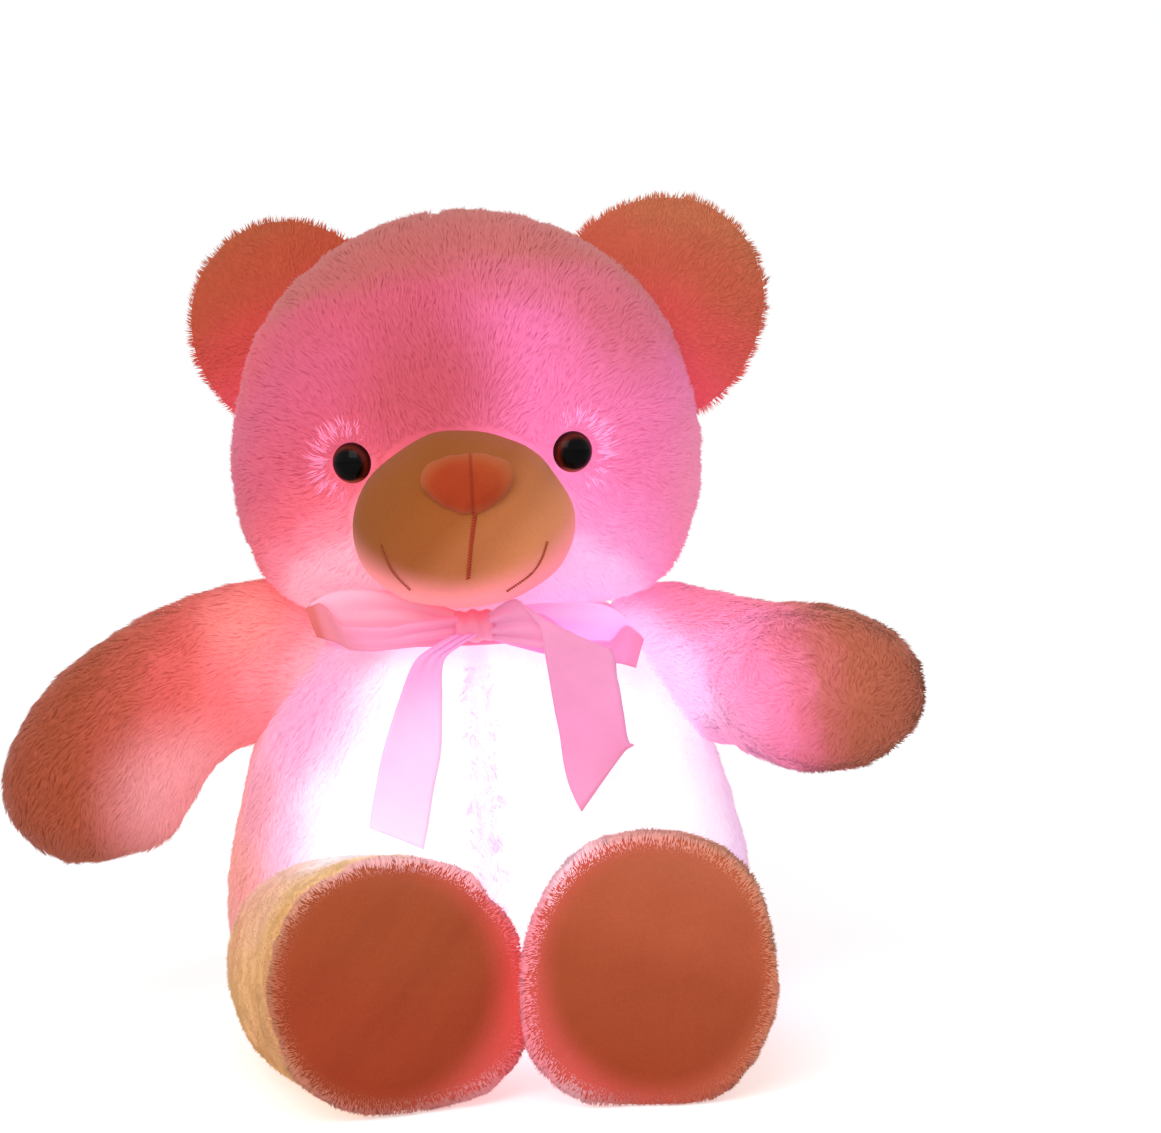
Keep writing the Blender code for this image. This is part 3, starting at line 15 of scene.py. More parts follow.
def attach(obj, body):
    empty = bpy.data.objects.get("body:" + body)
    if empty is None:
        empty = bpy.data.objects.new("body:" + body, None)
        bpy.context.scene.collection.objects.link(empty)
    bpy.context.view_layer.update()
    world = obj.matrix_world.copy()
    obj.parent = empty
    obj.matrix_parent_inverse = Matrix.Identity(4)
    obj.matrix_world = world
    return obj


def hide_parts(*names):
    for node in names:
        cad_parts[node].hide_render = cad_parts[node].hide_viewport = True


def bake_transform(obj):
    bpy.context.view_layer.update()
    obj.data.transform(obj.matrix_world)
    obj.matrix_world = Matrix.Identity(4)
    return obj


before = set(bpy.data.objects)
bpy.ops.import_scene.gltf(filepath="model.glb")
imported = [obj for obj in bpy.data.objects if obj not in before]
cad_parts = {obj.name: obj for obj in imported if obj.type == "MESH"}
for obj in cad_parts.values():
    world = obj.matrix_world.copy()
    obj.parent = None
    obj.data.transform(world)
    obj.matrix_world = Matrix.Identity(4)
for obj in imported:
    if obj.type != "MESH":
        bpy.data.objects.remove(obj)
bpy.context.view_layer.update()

# Photograph's camera
CAMERA_AT = (0.0, -1.293, 0.286)
CAMERA_AIM = (0.0, 0.0, 0.150)
CAMERA_ROLL = math.radians(-3)
CAMERA_LENS = 112.87
CAMERA_SENSOR = 36.0
CAMERA_SHIFT = (0.0922, 0.0265)

# Surround and lamps: the share of white that the surround gives, and each lamp's place, size and power
AMBIENT = 0.62
LAMPS = (("key_lamp", (-0.35, -1.10, 0.95), 0.9, 9.0),)

# Where the light sits in the chest, and how far its glow is told apart
GLOW_AT = (0.0, -0.045, 0.100)
GLOW_REACH = 0.22

# Body
BODY_HEIGHT = 0.148
BODY_SIZES = (0.0925, 0.069, 0.066)
BODY_SQUARENESS = 2.15
BACK_FLAT = 0.060
NECK_RADIUS = 0.042
BODY_ROWS = (
    (0.0, 0.0, 0.0), (0.020, 0.55, 0.50), (0.14, 0.95, 0.88), (0.34, 1.0, 0.99),
    (0.58, 0.915, 0.98), (0.76, 0.81, 0.88), (0.90, 0.64, 0.74),
)

# Head, from the neck seam up
HEAD_HEIGHT = 0.139
HEAD_SIZES = (0.081, 0.066)
HEAD_SQUARENESS = 2.2
HEAD_ROWS = (
    (0.055, 0.84, 0.80), (0.26, 1.0, 0.97), (0.48, 1.0, 1.0),
    (0.74, 0.85, 0.86), (0.93, 0.48, 0.50), (1.0, 0.0, 0.0),
)
HEAD_MIDDLE_SHARE = 0.48

# Ears: half thickness, the dish of both faces, and each ear's place, turn, half width and half height
EAR_THICKNESS = 0.0080
EAR_DISH = 0.007
EAR_UP = 0.1005
EAR_BACK = 0.006
EAR_LEAN = math.radians(38)
EARS = {
    "left": (1, 0.070, math.radians(4), (0.0393, 0.0430)),
    "right": (-1, 0.059, math.radians(12), (0.0383, 0.0409)),
}

# Muzzle and nose
MUZZLE_SIZES = (0.0375, 0.036, 0.0305)
MUZZLE_AT = (-0.0022, -0.060, 0.1836)
MUZZLE_TAPER = 0.10
NOSE_SIZES = (0.0150, 0.0058, 0.0105)
NOSE_UP = 0.0138
NOSE_TAPER = 0.30
MOUTH_LINE = ((0.109, 0.13), (0.059, -0.22), (0.019, -0.58))
SMILES = {
    "left": ((0.738, -0.25), (0.680, -0.43), (0.575, -0.60), (0.355, -0.78)),
    "right": ((-0.741, -0.19), (-0.685, -0.39), (-0.615, -0.54), (-0.505, -0.70)),
}

# Eyes
EYE_RADIUS = 0.0072
EYE_HEIGHT = 0.0052
EYE_UP = 0.0560
EYES = {"left": 0.0360, "right": -0.0386}

# Arms: rows, and each arm's shoulder, turns, root, half thickness and half width, length and bend
ARM_ROWS = ((0.34, 0.88), (0.66, 1.0), (0.88, 0.84), (1.0, 0.0))
ARMS = {
    "left": (
        (0.068, 0.004, 0.1226), (math.radians(-24), math.radians(5), math.radians(-90)), 0.0280,
        (0.0275, 0.0352), 0.1015, math.radians(60),
    ),
    "right": (
        (-0.070, 0.004, 0.1318), (math.radians(184), math.radians(1.5), 0), 0.0275,
        (0.0278, 0.0328), 0.1128, math.radians(80),
    ),
}

# Legs: length, squareness, rows, rise, and each leg's hip, toe-in, root, half sizes and swell by the hip
LEG_LENGTH = 0.090
LEG_SQUARENESS = 2.4
LEG_ROWS = ((0.66, 0.96), (0.90, 1.0), (1.0, 0.985))
LEG_RISE = math.radians(6)
HIP_FORWARD = 0.058
LEGS = {
    "left": ((0.0542, -HIP_FORWARD, 0.0328), math.radians(3), 0.030, (0.0404, 0.0438), 0.86),
    "right": ((-0.0562, -HIP_FORWARD, 0.0318), math.radians(-17), 0.0350, (0.0426, 0.0404), 0.94),
}
FOOT_SLIM = 0.17
FOOT_SPREAD = 0.13
SOLE_CROWN = 0.0040

# The fillings inside the muzzle and the arms, as shares of the sizes outside
MUZZLE_FILLING = 0.88
ARM_FILLING = 0.80

# How a skin is filled: voxels, the ears' voxels, the start's inset, the pressure, and how far a point moves
VOXEL = 0.0045
EAR_VOXEL = 0.0030
START_INSET = 0.0012
FILL_PRESSURE = 4.0
FILL_FRAMES = 20
FILL_CAP = 0.0030

# Pile: lock length, half width, and its leans from the skin's normal at the root and at the tip
PILE_LENGTH = 0.0062
PILE_RADIUS = 0.00027
PILE_ROOT_DEPTH = 0.0008
PILE_BEND_SHARE = 0.42
PILE_LEANS = (math.radians(53), math.radians(80))
FLOOR_CLEARANCE = 0.0003

# A lock's points, from its root to its tip, and what each adds to its shading: painted shade at the root,
# deep in the pile, and painted light at the tip
LOCK_POINTS = 5
LOCK_SHADING = (-0.40, 0.0, 0.0, 0.0, 0.25)

# How far the nearest place of a skin is looked for
SEARCH_REACH = 0.05

PILE_DENSITY = 1.30
EAR_DENSITY = 1.7
TUFT_COUNT = 90000
RAY_COUNT = 60000
RIM_COUNT = 26000
FLAP_DENSITY = 2.2e6

# Shorter pile, as shares of the full length, and how much flatter an ear's pile lies
EAR_PILE = 0.58
LEG_RIGHT_PILE = 0.8
FLAP_PILE = 0.9
EAR_FLAT = math.radians(8)

# The quarters of a large skin's pile: left or right, front or back, and the share of its locks
QUARTERS = {
    "_front_left": (1, -1, 1.0), "_front_right": (-1, -1, 1.0), "_back_left": (1, 1, 0.75),
    "_back_right": (-1, 1, 0.75),
}

# How far a lock's random tone, painted root shade and painted tip light change its colour, and how much of
# the light falling on the pile comes back
PILE_TONE_AND_SHADE = 0.13
PLUSH_SHARE = 0.84

# The ovals of the soles' looks: middle, and half sizes along X and Z
SOLE_OVALS = {
    "left": ((0.052, 0.0, 0.044), (0.0395, 0.0435)),
    "right": ((-0.034, 0.0, 0.042), (0.041, 0.043)),
}

# The seam down the front and the sockets round the eyes: how deep they are, and how wide
SEAM_DEPTH, SEAM_WIDTH = 0.0009, 0.0030
SOCKET_DEPTH, SOCKET_WIDTH = 0.0008, 0.012

# The nose's crease (its place along X, width and depth) and the stitches (how far apart, and their radius)
CREASE_AT, CREASE_WIDTH, CREASE_DEPTH = 0.0014, 0.0009, 0.0008
STITCH_STEP, STITCH_RADIUS = 0.00062, 0.00036


# Shared geometry


def through(points, steps, start_pole=False, end_pole=False):
    """Points on one smooth curve through the given ones. It meets a pole at right angles to the axis."""
    points = [np.array(point, float) for point in points]
    mirror = np.array([1.0] + [-1.0] * (len(points[0]) - 1))
    before = mirror * points[1] if start_pole else 2 * points[0] - points[1]
    after = mirror * points[-2] if end_pole else 2 * points[-1] - points[-2]
    line = [before, *points, after]
    found = []
    for a, b, c, d in zip(line, line[1:], line[2:], line[3:]):
        for step in range(steps):
            t = step / steps
            bend, twist = 2 * a - 5 * b + 4 * c - d, 3 * b - a - 3 * c + d
            found.append(b + ((c - a) * t + bend * t**2 + twist * t**3) / 2)
    found.append(points[-1])
    return found


def oval(half_width, half_front, half_back, squareness, sides):
    """Points round a soft-cornered oval, counter-clockwise, whose second axis has two unlike halves."""
    turn = np.arange(sides) * 2 * math.pi / sides
    across, along = np.cos(turn), np.sin(turn)
    x = half_width * np.sign(across) * np.abs(across) ** (2 / squareness)
    y = np.sign(along) * np.abs(along) ** (2 / squareness)
    return x, np.where(y > 0, half_back, half_front) * y


def turned_through(*turns):
    whole = Matrix.Identity(3)
    for turn in turns:
        whole = whole @ Euler(turn).to_matrix()
    return whole


def linked(name, data):
    """An object with this data, in the scene."""
    obj = bpy.data.objects.new(name, data)
    bpy.context.scene.collection.objects.link(obj)
    return obj


def mesh_of(name, points, faces):
    mesh = bpy.data.meshes.new(name)
    mesh.from_pydata([tuple(point) for point in points], [], faces)
    mesh.shade_smooth()
    return mesh


def read_values(items, key, width=3, kind=np.float64):
    """The values of this key of a mesh's vertices, loops or triangles, in rows of this width."""
    found = np.empty(len(items) * width, kind)
    items.foreach_get(key, found)
    return found.reshape(-1, width)


def add_values(mesh, name, values):
    """Gives the mesh an attribute with one value for each point."""
    values = np.asarray(values, np.float32).reshape(-1)
    mesh.attributes.new(name, "FLOAT", "POINT").data.foreach_set("value", values)


def add_map(mesh, name, places):
    """Gives the mesh a UV map with one place for each point."""
    corners = read_values(mesh.loops, "vertex_index", 1, np.int32)[:, 0]
    layer = mesh.uv_layers.new(name=name)
    layer.data.foreach_set("uv", places[corners].astype(np.float32).reshape(-1))


def new_piece(name, points, faces, finish):
    """A mesh object at the origin, with smooth faces that point outwards."""
    mesh = mesh_of(name, points, faces)
    shape = bmesh.new()
    shape.from_mesh(mesh)
    bmesh.ops.remove_doubles(shape, verts=shape.verts, dist=1e-7)
    bmesh.ops.recalc_face_normals(shape, faces=shape.faces)
    shape.to_mesh(mesh)
    shape.free()
    obj = linked(name, mesh)
    if finish:
        mesh.materials.append(finish)
    return obj


def lofted(name, rings, finish=None):
    """A closed form over the rings, each end closed by a point in the middle of its ring."""
    rings = [np.array(ring, float) for ring in rings]
    sides = len(rings[0])
    points = np.concatenate([*rings, [rings[0].mean(axis=0)], [rings[-1].mean(axis=0)]])
    faces = []
    for row in range(len(rings) - 1):
        for i in range(sides):
            j = (i + 1) % sides
            faces.append((row * sides + i, row * sides + j, (row + 1) * sides + j, (row + 1) * sides + i))
    first, last = len(rings) * sides, len(rings) * sides + 1
    top = (len(rings) - 1) * sides
    for i in range(sides):
        j = (i + 1) % sides
        faces.append((first, j, i))
        faces.append((last, top + i, top + j))
    return new_piece(name, points, faces, finish)


def only(obj):
    """Makes this piece the one that an operator acts on."""
    bpy.ops.object.select_all(action="DESELECT")
    obj.select_set(True)
    bpy.context.view_layer.objects.active = obj


def applied(obj, kind, **settings):
    """Adds a modifier with these settings and applies it."""
    modifier = obj.modifiers.new(kind.title(), kind)
    for key, value in settings.items():
        setattr(modifier, key, value)
    only(obj)
    bpy.ops.object.modifier_apply(modifier=modifier.name)
    return obj


def coordinates(obj):
    return read_values(obj.data.vertices, "co")


def normals(obj):
    return read_values(obj.data.vertices, "normal")


def set_coordinates(obj, points):
    obj.data.vertices.foreach_set("co", np.asarray(points, float).ravel())
    obj.data.update()


def above(points, low):
    """The points, none lower than this height."""
    points[:, 2] = np.maximum(points[:, 2], low)
    return points


def roughened(obj, *bands):
    """Moves the points along their normals by waves: for each band a height, a wavelength and a seed."""
    points, outward = coordinates(obj), normals(obj)
    rough = sum(height * waves(points, length, seed) for height, length, seed in bands)
    return points + outward * rough[:, None]


def tree_of(obj):
    return BVHTree.FromObject(obj, bpy.context.evaluated_depsgraph_get())


def depth_in(tree, points):
    """How deep each point lies inside a closed form. Outside it, the value is negative."""
    found = np.full(len(points), -SEARCH_REACH)
    for i, point in enumerate(points):
        near, normal, _, distance = tree.find_nearest(Vector(point), SEARCH_REACH)
        if near is not None:
            found[i] = -distance if (Vector(point) - near).dot(normal) > 0 else distance
    return found


def waves(points, length, seed):
    """A smooth, repeatable unevenness from -1 to 1 over the points, with this wavelength."""
    rng = np.random.default_rng(seed)
    total = np.zeros(len(points))
    count = 5
    for _ in range(count):
        way = rng.normal(size=3)
        way *= 2 * math.pi / length / np.linalg.norm(way) * rng.uniform(0.7, 1.4)
        total += np.sin(points @ way + rng.uniform(0, 2 * math.pi))
    return np.clip(total / math.sqrt(count), -1.5, 1.5) / 1.5


def unit(vectors):
    size = np.linalg.norm(vectors, axis=-1, keepdims=True)
    return np.divide(vectors, size, out=np.zeros_like(vectors), where=size > 1e-12)


# Materials


def colour(red, green, blue):
    """The linear colour of a written one."""
    shares = [value / 255 for value in (red, green, blue)]
    linear = [share / 12.92 if share <= 0.04045 else ((share + 0.055) / 1.055) ** 2.4 for share in shares]
    return (*linear, 1.0)


def new_material(name, roughness, specular, **sockets):
    """A material with one Principled shader, and the tree and shader to build on."""
    made = bpy.data.materials.new(name)
    made.use_nodes = True
    tree = made.node_tree
    shader = tree.nodes["Principled BSDF"]
    shader.inputs["Roughness"].default_value = roughness
    shader.inputs["Specular IOR Level"].default_value = specular
    for key, value in sockets.items():
        shader.inputs[key.replace("_", " ")].default_value = value
    return made, tree, shader


def node(tree, kind, inputs=(), **settings):
    """A node with its settings, and its inputs by number as values or as links."""
    made = tree.nodes.new(kind)
    for key, value in settings.items():
        setattr(made, key, value)
    for place, value in dict(inputs).items():
        if isinstance(value, bpy.types.NodeSocket):
            tree.links.new(value, made.inputs[place])
        else:
            made.inputs[place].default_value = value
    return made


def maths(tree, operation, *values, clamp=False):
    return node(tree, "ShaderNodeMath", enumerate(values), operation=operation, use_clamp=clamp).outputs[0]


def object_place(tree):
    return node(tree, "ShaderNodeTexCoord").outputs["Object"]


def noise(tree, place, scale, detail=3.0, roughness=0.55):
    made = node(
        tree, "ShaderNodeTexNoise",
        {"Vector": place, "Scale": scale, "Detail": detail, "Roughness": roughness},
    )
    return made.outputs[0]


def ramp(tree, factor, stops, smooth=True):
    """A colour ramp with stops of a place and a linear colour."""
    made = node(tree, "ShaderNodeValToRGB", {"Fac": factor})
    band = made.color_ramp
    band.interpolation = "EASE" if smooth else "LINEAR"
    while len(band.elements) < len(stops):
        band.elements.new(0.5)
    for element, (at, value) in zip(band.elements, stops):
        element.position = at
        element.color = value
    return made.outputs[0]


def spread(tree, value, low, high, to_low=0.0, to_high=1.0):
    made = node(
        tree, "ShaderNodeMapRange",
        {"Value": value, "From Min": low, "From Max": high, "To Min": to_low, "To Max": to_high},
        interpolation_type="SMOOTHSTEP",
    )
    return made.outputs[0]


def mixed(tree, factor, first, second):
    made = node(tree, "ShaderNodeMix", (), data_type="RGBA", blend_type="MIX")
    for place, value in (("Factor", factor), ("A", first), ("B", second)):
        fitting = [s for s in made.inputs if s.name == place and s.enabled]
        socket = next(s for s in fitting if place == "Factor" or s.type == "RGBA")
        if isinstance(value, bpy.types.NodeSocket):
            tree.links.new(value, socket)
        else:
            socket.default_value = value
    return next(s for s in made.outputs if s.type == "RGBA")


def vectors(tree, operation, *values):
    return node(tree, "ShaderNodeVectorMath", enumerate(values), operation=operation).outputs


def scaled(tree, vector, share):
    return node(tree, "ShaderNodeVectorMath", {0: vector, "Scale": share}, operation="SCALE").outputs[0]


def attribute_value(tree, name):
    return node(tree, "ShaderNodeAttribute", (), attribute_name=name).outputs["Fac"]


def bump(tree, shader, height, strength, distance):
    made = node(tree, "ShaderNodeBump", {"Strength": strength, "Distance": distance, "Height": height})
    tree.links.new(made.outputs[0], shader.inputs["Normal"])


def lit_cloth(tree, shader, hue, share, glow, sheen, sheen_roughness):
    """The cloth's colour: its share of the light falling on it comes back, and its glow, painted light of the
    chest lamp through the cloth, is given off.
    """
    tree.links.new(scaled(tree, hue, share), shader.inputs["Base Color"])
    tree.links.new(scaled(tree, hue, glow), shader.inputs["Emission Color"])
    shader.inputs["Emission Strength"].default_value = 1.0
    shader.inputs["Sheen Weight"].default_value = sheen
    shader.inputs["Sheen Roughness"].default_value = sheen_roughness


def separate(tree, vector):
    return node(tree, "ShaderNodeSeparateXYZ", {0: vector}).outputs


def oval_size(tree, place, middle, sizes):
    """The distance from an upright line's middle, in half sizes along X and Z."""
    off = vectors(tree, "SUBTRACT", place, middle)[0]
    flat = vectors(tree, "MULTIPLY", off, (1 / sizes[0], 0.0, 1 / sizes[1]))[0]
    return vectors(tree, "LENGTH", flat)["Value"]


def plush(name, right_stops, left_stops=None, *, glow, centre=GLOW_AT, split=(-0.045, 0.045), mottle=0.008,
          light_and_shade_spots=(), across=False, seam=None, inner=None, tone_and_shade_share=PILE_TONE_AND_SHADE, cloth=PLUSH_SHARE):
    """Pile whose colour and glow are painted light: both follow the distance from the chest light.

    Stops are a distance and a written colour, for the bear's own right side and for its left. With
    across, a stop is a place along X. The spots are painted light and painted shade: lighter spots
    paint more glow and darker ones paint shade, each a centre, a radius and a colour. A seam is the
    colour of the pile along the middle of the front. An inner oval has a centre, half sizes along X
    and Z, the shares of them between which its colour ends, and the colour. cloth is the share of the
    light falling on it that comes back.
    """
    made, tree, shader = new_material(name, roughness=1.0, specular=0.05)
    place = object_place(tree)
    away = vectors(tree, "DISTANCE", place, centre)["Value"]
    uneven = maths(tree, "MULTIPLY_ADD", noise(tree, place, 42.0, 4.0), mottle * 2, -mottle)
    reach = maths(tree, "ADD", away, uneven)
    sideways = separate(tree, place)[0]
    low = -GLOW_REACH / 2 if across else 0.0
    measure = maths(tree, "ADD", sideways, uneven) if across else reach
    share = maths(tree, "DIVIDE", maths(tree, "SUBTRACT", measure, low), GLOW_REACH, clamp=True)
    sides = []
    for stops in (right_stops, left_stops):
        if stops:
            stops = [((at - low) / GLOW_REACH, colour(*value)) for at, value in stops]
            sides.append(ramp(tree, share, stops))
    hue = mixed(tree, spread(tree, sideways, *split), *sides) if left_stops else sides[0]
    # Spots of painted light and painted shade: lighter spots paint more glow, darker ones paint shade
    for at, radius, value in light_and_shade_spots:
        near = vectors(tree, "DISTANCE", place, at)["Value"]
        hue = mixed(tree, spread(tree, near, radius * 0.2, radius, 0.8, 0.0), hue, colour(*value))
    if seam:
        front = spread(tree, separate(tree, place)[1], -0.045, -0.02, 1.0, 0.0)
        line = spread(tree, maths(tree, "ABSOLUTE", sideways), 0.001, 0.006, 0.75, 0.0)
        hue = mixed(tree, maths(tree, "MULTIPLY", line, front), hue, colour(*seam))
    if inner:
        middle, sizes, ends, value = inner
        hue = mixed(tree, spread(tree, oval_size(tree, place, middle, sizes), *ends), colour(*value), hue)
    # The locks' random tones, with their painted root shade and tip light, scale the colour
    hue = scaled(tree, hue, maths(tree, "MULTIPLY_ADD", attribute_value(tree, "tone_and_shade"), tone_and_shade_share, 1.0))
    lit_cloth(tree, shader, hue, cloth, spread(tree, reach, *glow), 0.25, 0.6)
    bump(tree, shader, noise(tree, place, 700.0, 3.0), 0.5, 0.0006)
    return made


def velour(name, way, centre, stops, grain, rim, glow=0.10, mottle=0.10, crease=None):
    """Short, dense cloth whose colour runs along a way from its centre, with a fine nap.

    A rim is a centre, the half sizes of an oval, where its colour starts, its colours towards -X and
    towards +X, and its glow. A crease is a place along X and the darker colour of the upright line
    there, painted shade in the crease.
    """
    made, tree, shader = new_material(name, roughness=0.95, specular=0.08)
    place = object_place(tree)
    along = vectors(tree, "DOT_PRODUCT", vectors(tree, "SUBTRACT", place, centre)[0], way)["Value"]
    cloud = maths(tree, "MULTIPLY_ADD", noise(tree, place, 70.0, 4.0), mottle * 2, -mottle)
    share = maths(tree, "MULTIPLY_ADD", maths(tree, "ADD", along, cloud), 0.5, 0.5, clamp=True)
    hue = ramp(tree, share, [(at / 2 + 0.5, colour(*value)) for at, value in stops])
    middle, sizes, start, right, left, rim_glow = rim
    edge = spread(tree, oval_size(tree, place, middle, sizes), start, 1.05)
    sideways = spread(tree, separate(tree, place)[0], middle[0] - sizes[0] * 0.5, middle[0] + sizes[0] * 0.8)
    hue = mixed(tree, edge, hue, mixed(tree, sideways, colour(*right), colour(*left)))
    glow = maths(tree, "MULTIPLY_ADD", edge, rim_glow - glow, glow)
    # Painted shade darkens the line of the nose's crease
    if crease:
        at, value = crease
        off = maths(tree, "ABSOLUTE", maths(tree, "SUBTRACT", separate(tree, place)[0], at))
        hue = mixed(tree, spread(tree, off, 0.0001, 0.0009, 0.7, 0.0), hue, colour(*value))
    nap = noise(tree, place, grain, 2.0, 0.7)
    hue = scaled(tree, hue, maths(tree, "MULTIPLY_ADD", nap, 0.22, 0.89))
    lit_cloth(tree, shader, hue, PLUSH_SHARE, glow, 0.10, 0.5)
    bump(tree, shader, nap, 0.6, 0.0003)
    return made


def satin(name, stops, span, glow, attribute=None):
    """Satin ribbon: colours by height or by the ribbon's own attribute, which paint the chest lamp's light
    through it, and fine threads along and across it.
    """
    made, tree, shader = new_material(name, roughness=0.40, specular=0.35)
    place = object_place(tree)
    along = separate(tree, place)[2]
    if attribute:
        along = attribute_value(tree, attribute)
    share = node(
        tree, "ShaderNodeMapRange", {"Value": along, "From Min": span[0], "From Max": span[1]},
    ).outputs[0]
    hue = ramp(tree, share, [(at, colour(*value)) for at, value in stops])
    along, across, _ = separate(tree, node(tree, "ShaderNodeUVMap", (), uv_map="weave").outputs[0])
    warp = maths(tree, "SINE", maths(tree, "MULTIPLY", along, 2 * math.pi / 0.00045))
    weft = maths(tree, "SINE", maths(tree, "MULTIPLY", across, 2 * math.pi / 0.0009))
    weave = maths(tree, "MULTIPLY_ADD", weft, 0.35, maths(tree, "MULTIPLY", warp, 0.65))
    cloud = noise(tree, place, 120.0, 2.0)
    hue = scaled(tree, hue, maths(tree, "MULTIPLY_ADD", cloud, 0.12, 0.94))
    hue = scaled(tree, hue, maths(tree, "MULTIPLY_ADD", weave, 0.02, 1.0))
    lit_cloth(tree, shader, hue, PLUSH_SHARE, glow, 0.1, 0.5)
    bump(tree, shader, weave, 0.25, 0.00008)
    return made


def plain(name, value, roughness, specular=0.4, scale=300.0, depth=0.00006, spread_share=0.06, **sockets):
    """A moulded or drawn surface: one colour with slight unevenness in colour and gloss."""
    made, tree, shader = new_material(name, roughness, specular, **sockets)
    place = object_place(tree)
    grain = noise(tree, place, scale, 3.0)
    light = colour(*[min(255, v * (1 + spread_share)) for v in value])
    dark = colour(*[v * (1 - spread_share) for v in value])
    hue = mixed(tree, grain, light, dark)
    tree.links.new(hue, shader.inputs["Base Color"])
    tree.links.new(
        spread(tree, grain, 0.2, 0.8, roughness * 0.85, min(1, roughness * 1.15)), shader.inputs["Roughness"],
    )
    bump(tree, shader, grain, 0.3, depth)
    return made


def eye_gloss():
    """A glossy eye: black pupil, dark brown ring with painted light on its lower part, black rim. Its UV map
    has the middle at the origin.
    """
    made, tree, shader = new_material("eye_gloss", roughness=0.14, specular=0.08)
    across, up, _ = separate(tree, node(tree, "ShaderNodeUVMap", (), uv_map="round").outputs[0])
    squares = [maths(tree, "POWER", value, 2.0) for value in (across, up)]
    radius = maths(tree, "SQRT", maths(tree, "ADD", *squares))
    turn = maths(tree, "ARCTAN2", up, across)
    rays = maths(tree, "SINE", maths(tree, "MULTIPLY", turn, 46.0))
    radius = maths(tree, "MULTIPLY_ADD", rays, 0.010, radius)
    black, brown, rim = colour(4, 3, 3), colour(96, 26, 16), colour(58, 14, 10)
    stops = [(0.0, black), (0.68, black), (0.76, colour(50, 14, 9)), (0.86, brown), (0.96, rim), (1.0, black)]
    hue = ramp(tree, radius, stops, smooth=False)
    # Painted light of the chest lamp's glow from below makes the ring's lower part lighter
    low = maths(tree, "MULTIPLY", spread(tree, up, -0.55, -0.85), spread(tree, radius, 0.70, 0.80))
    hue = mixed(tree, low, hue, colour(168, 84, 60))
    tree.links.new(hue, shader.inputs["Base Color"])
    return made


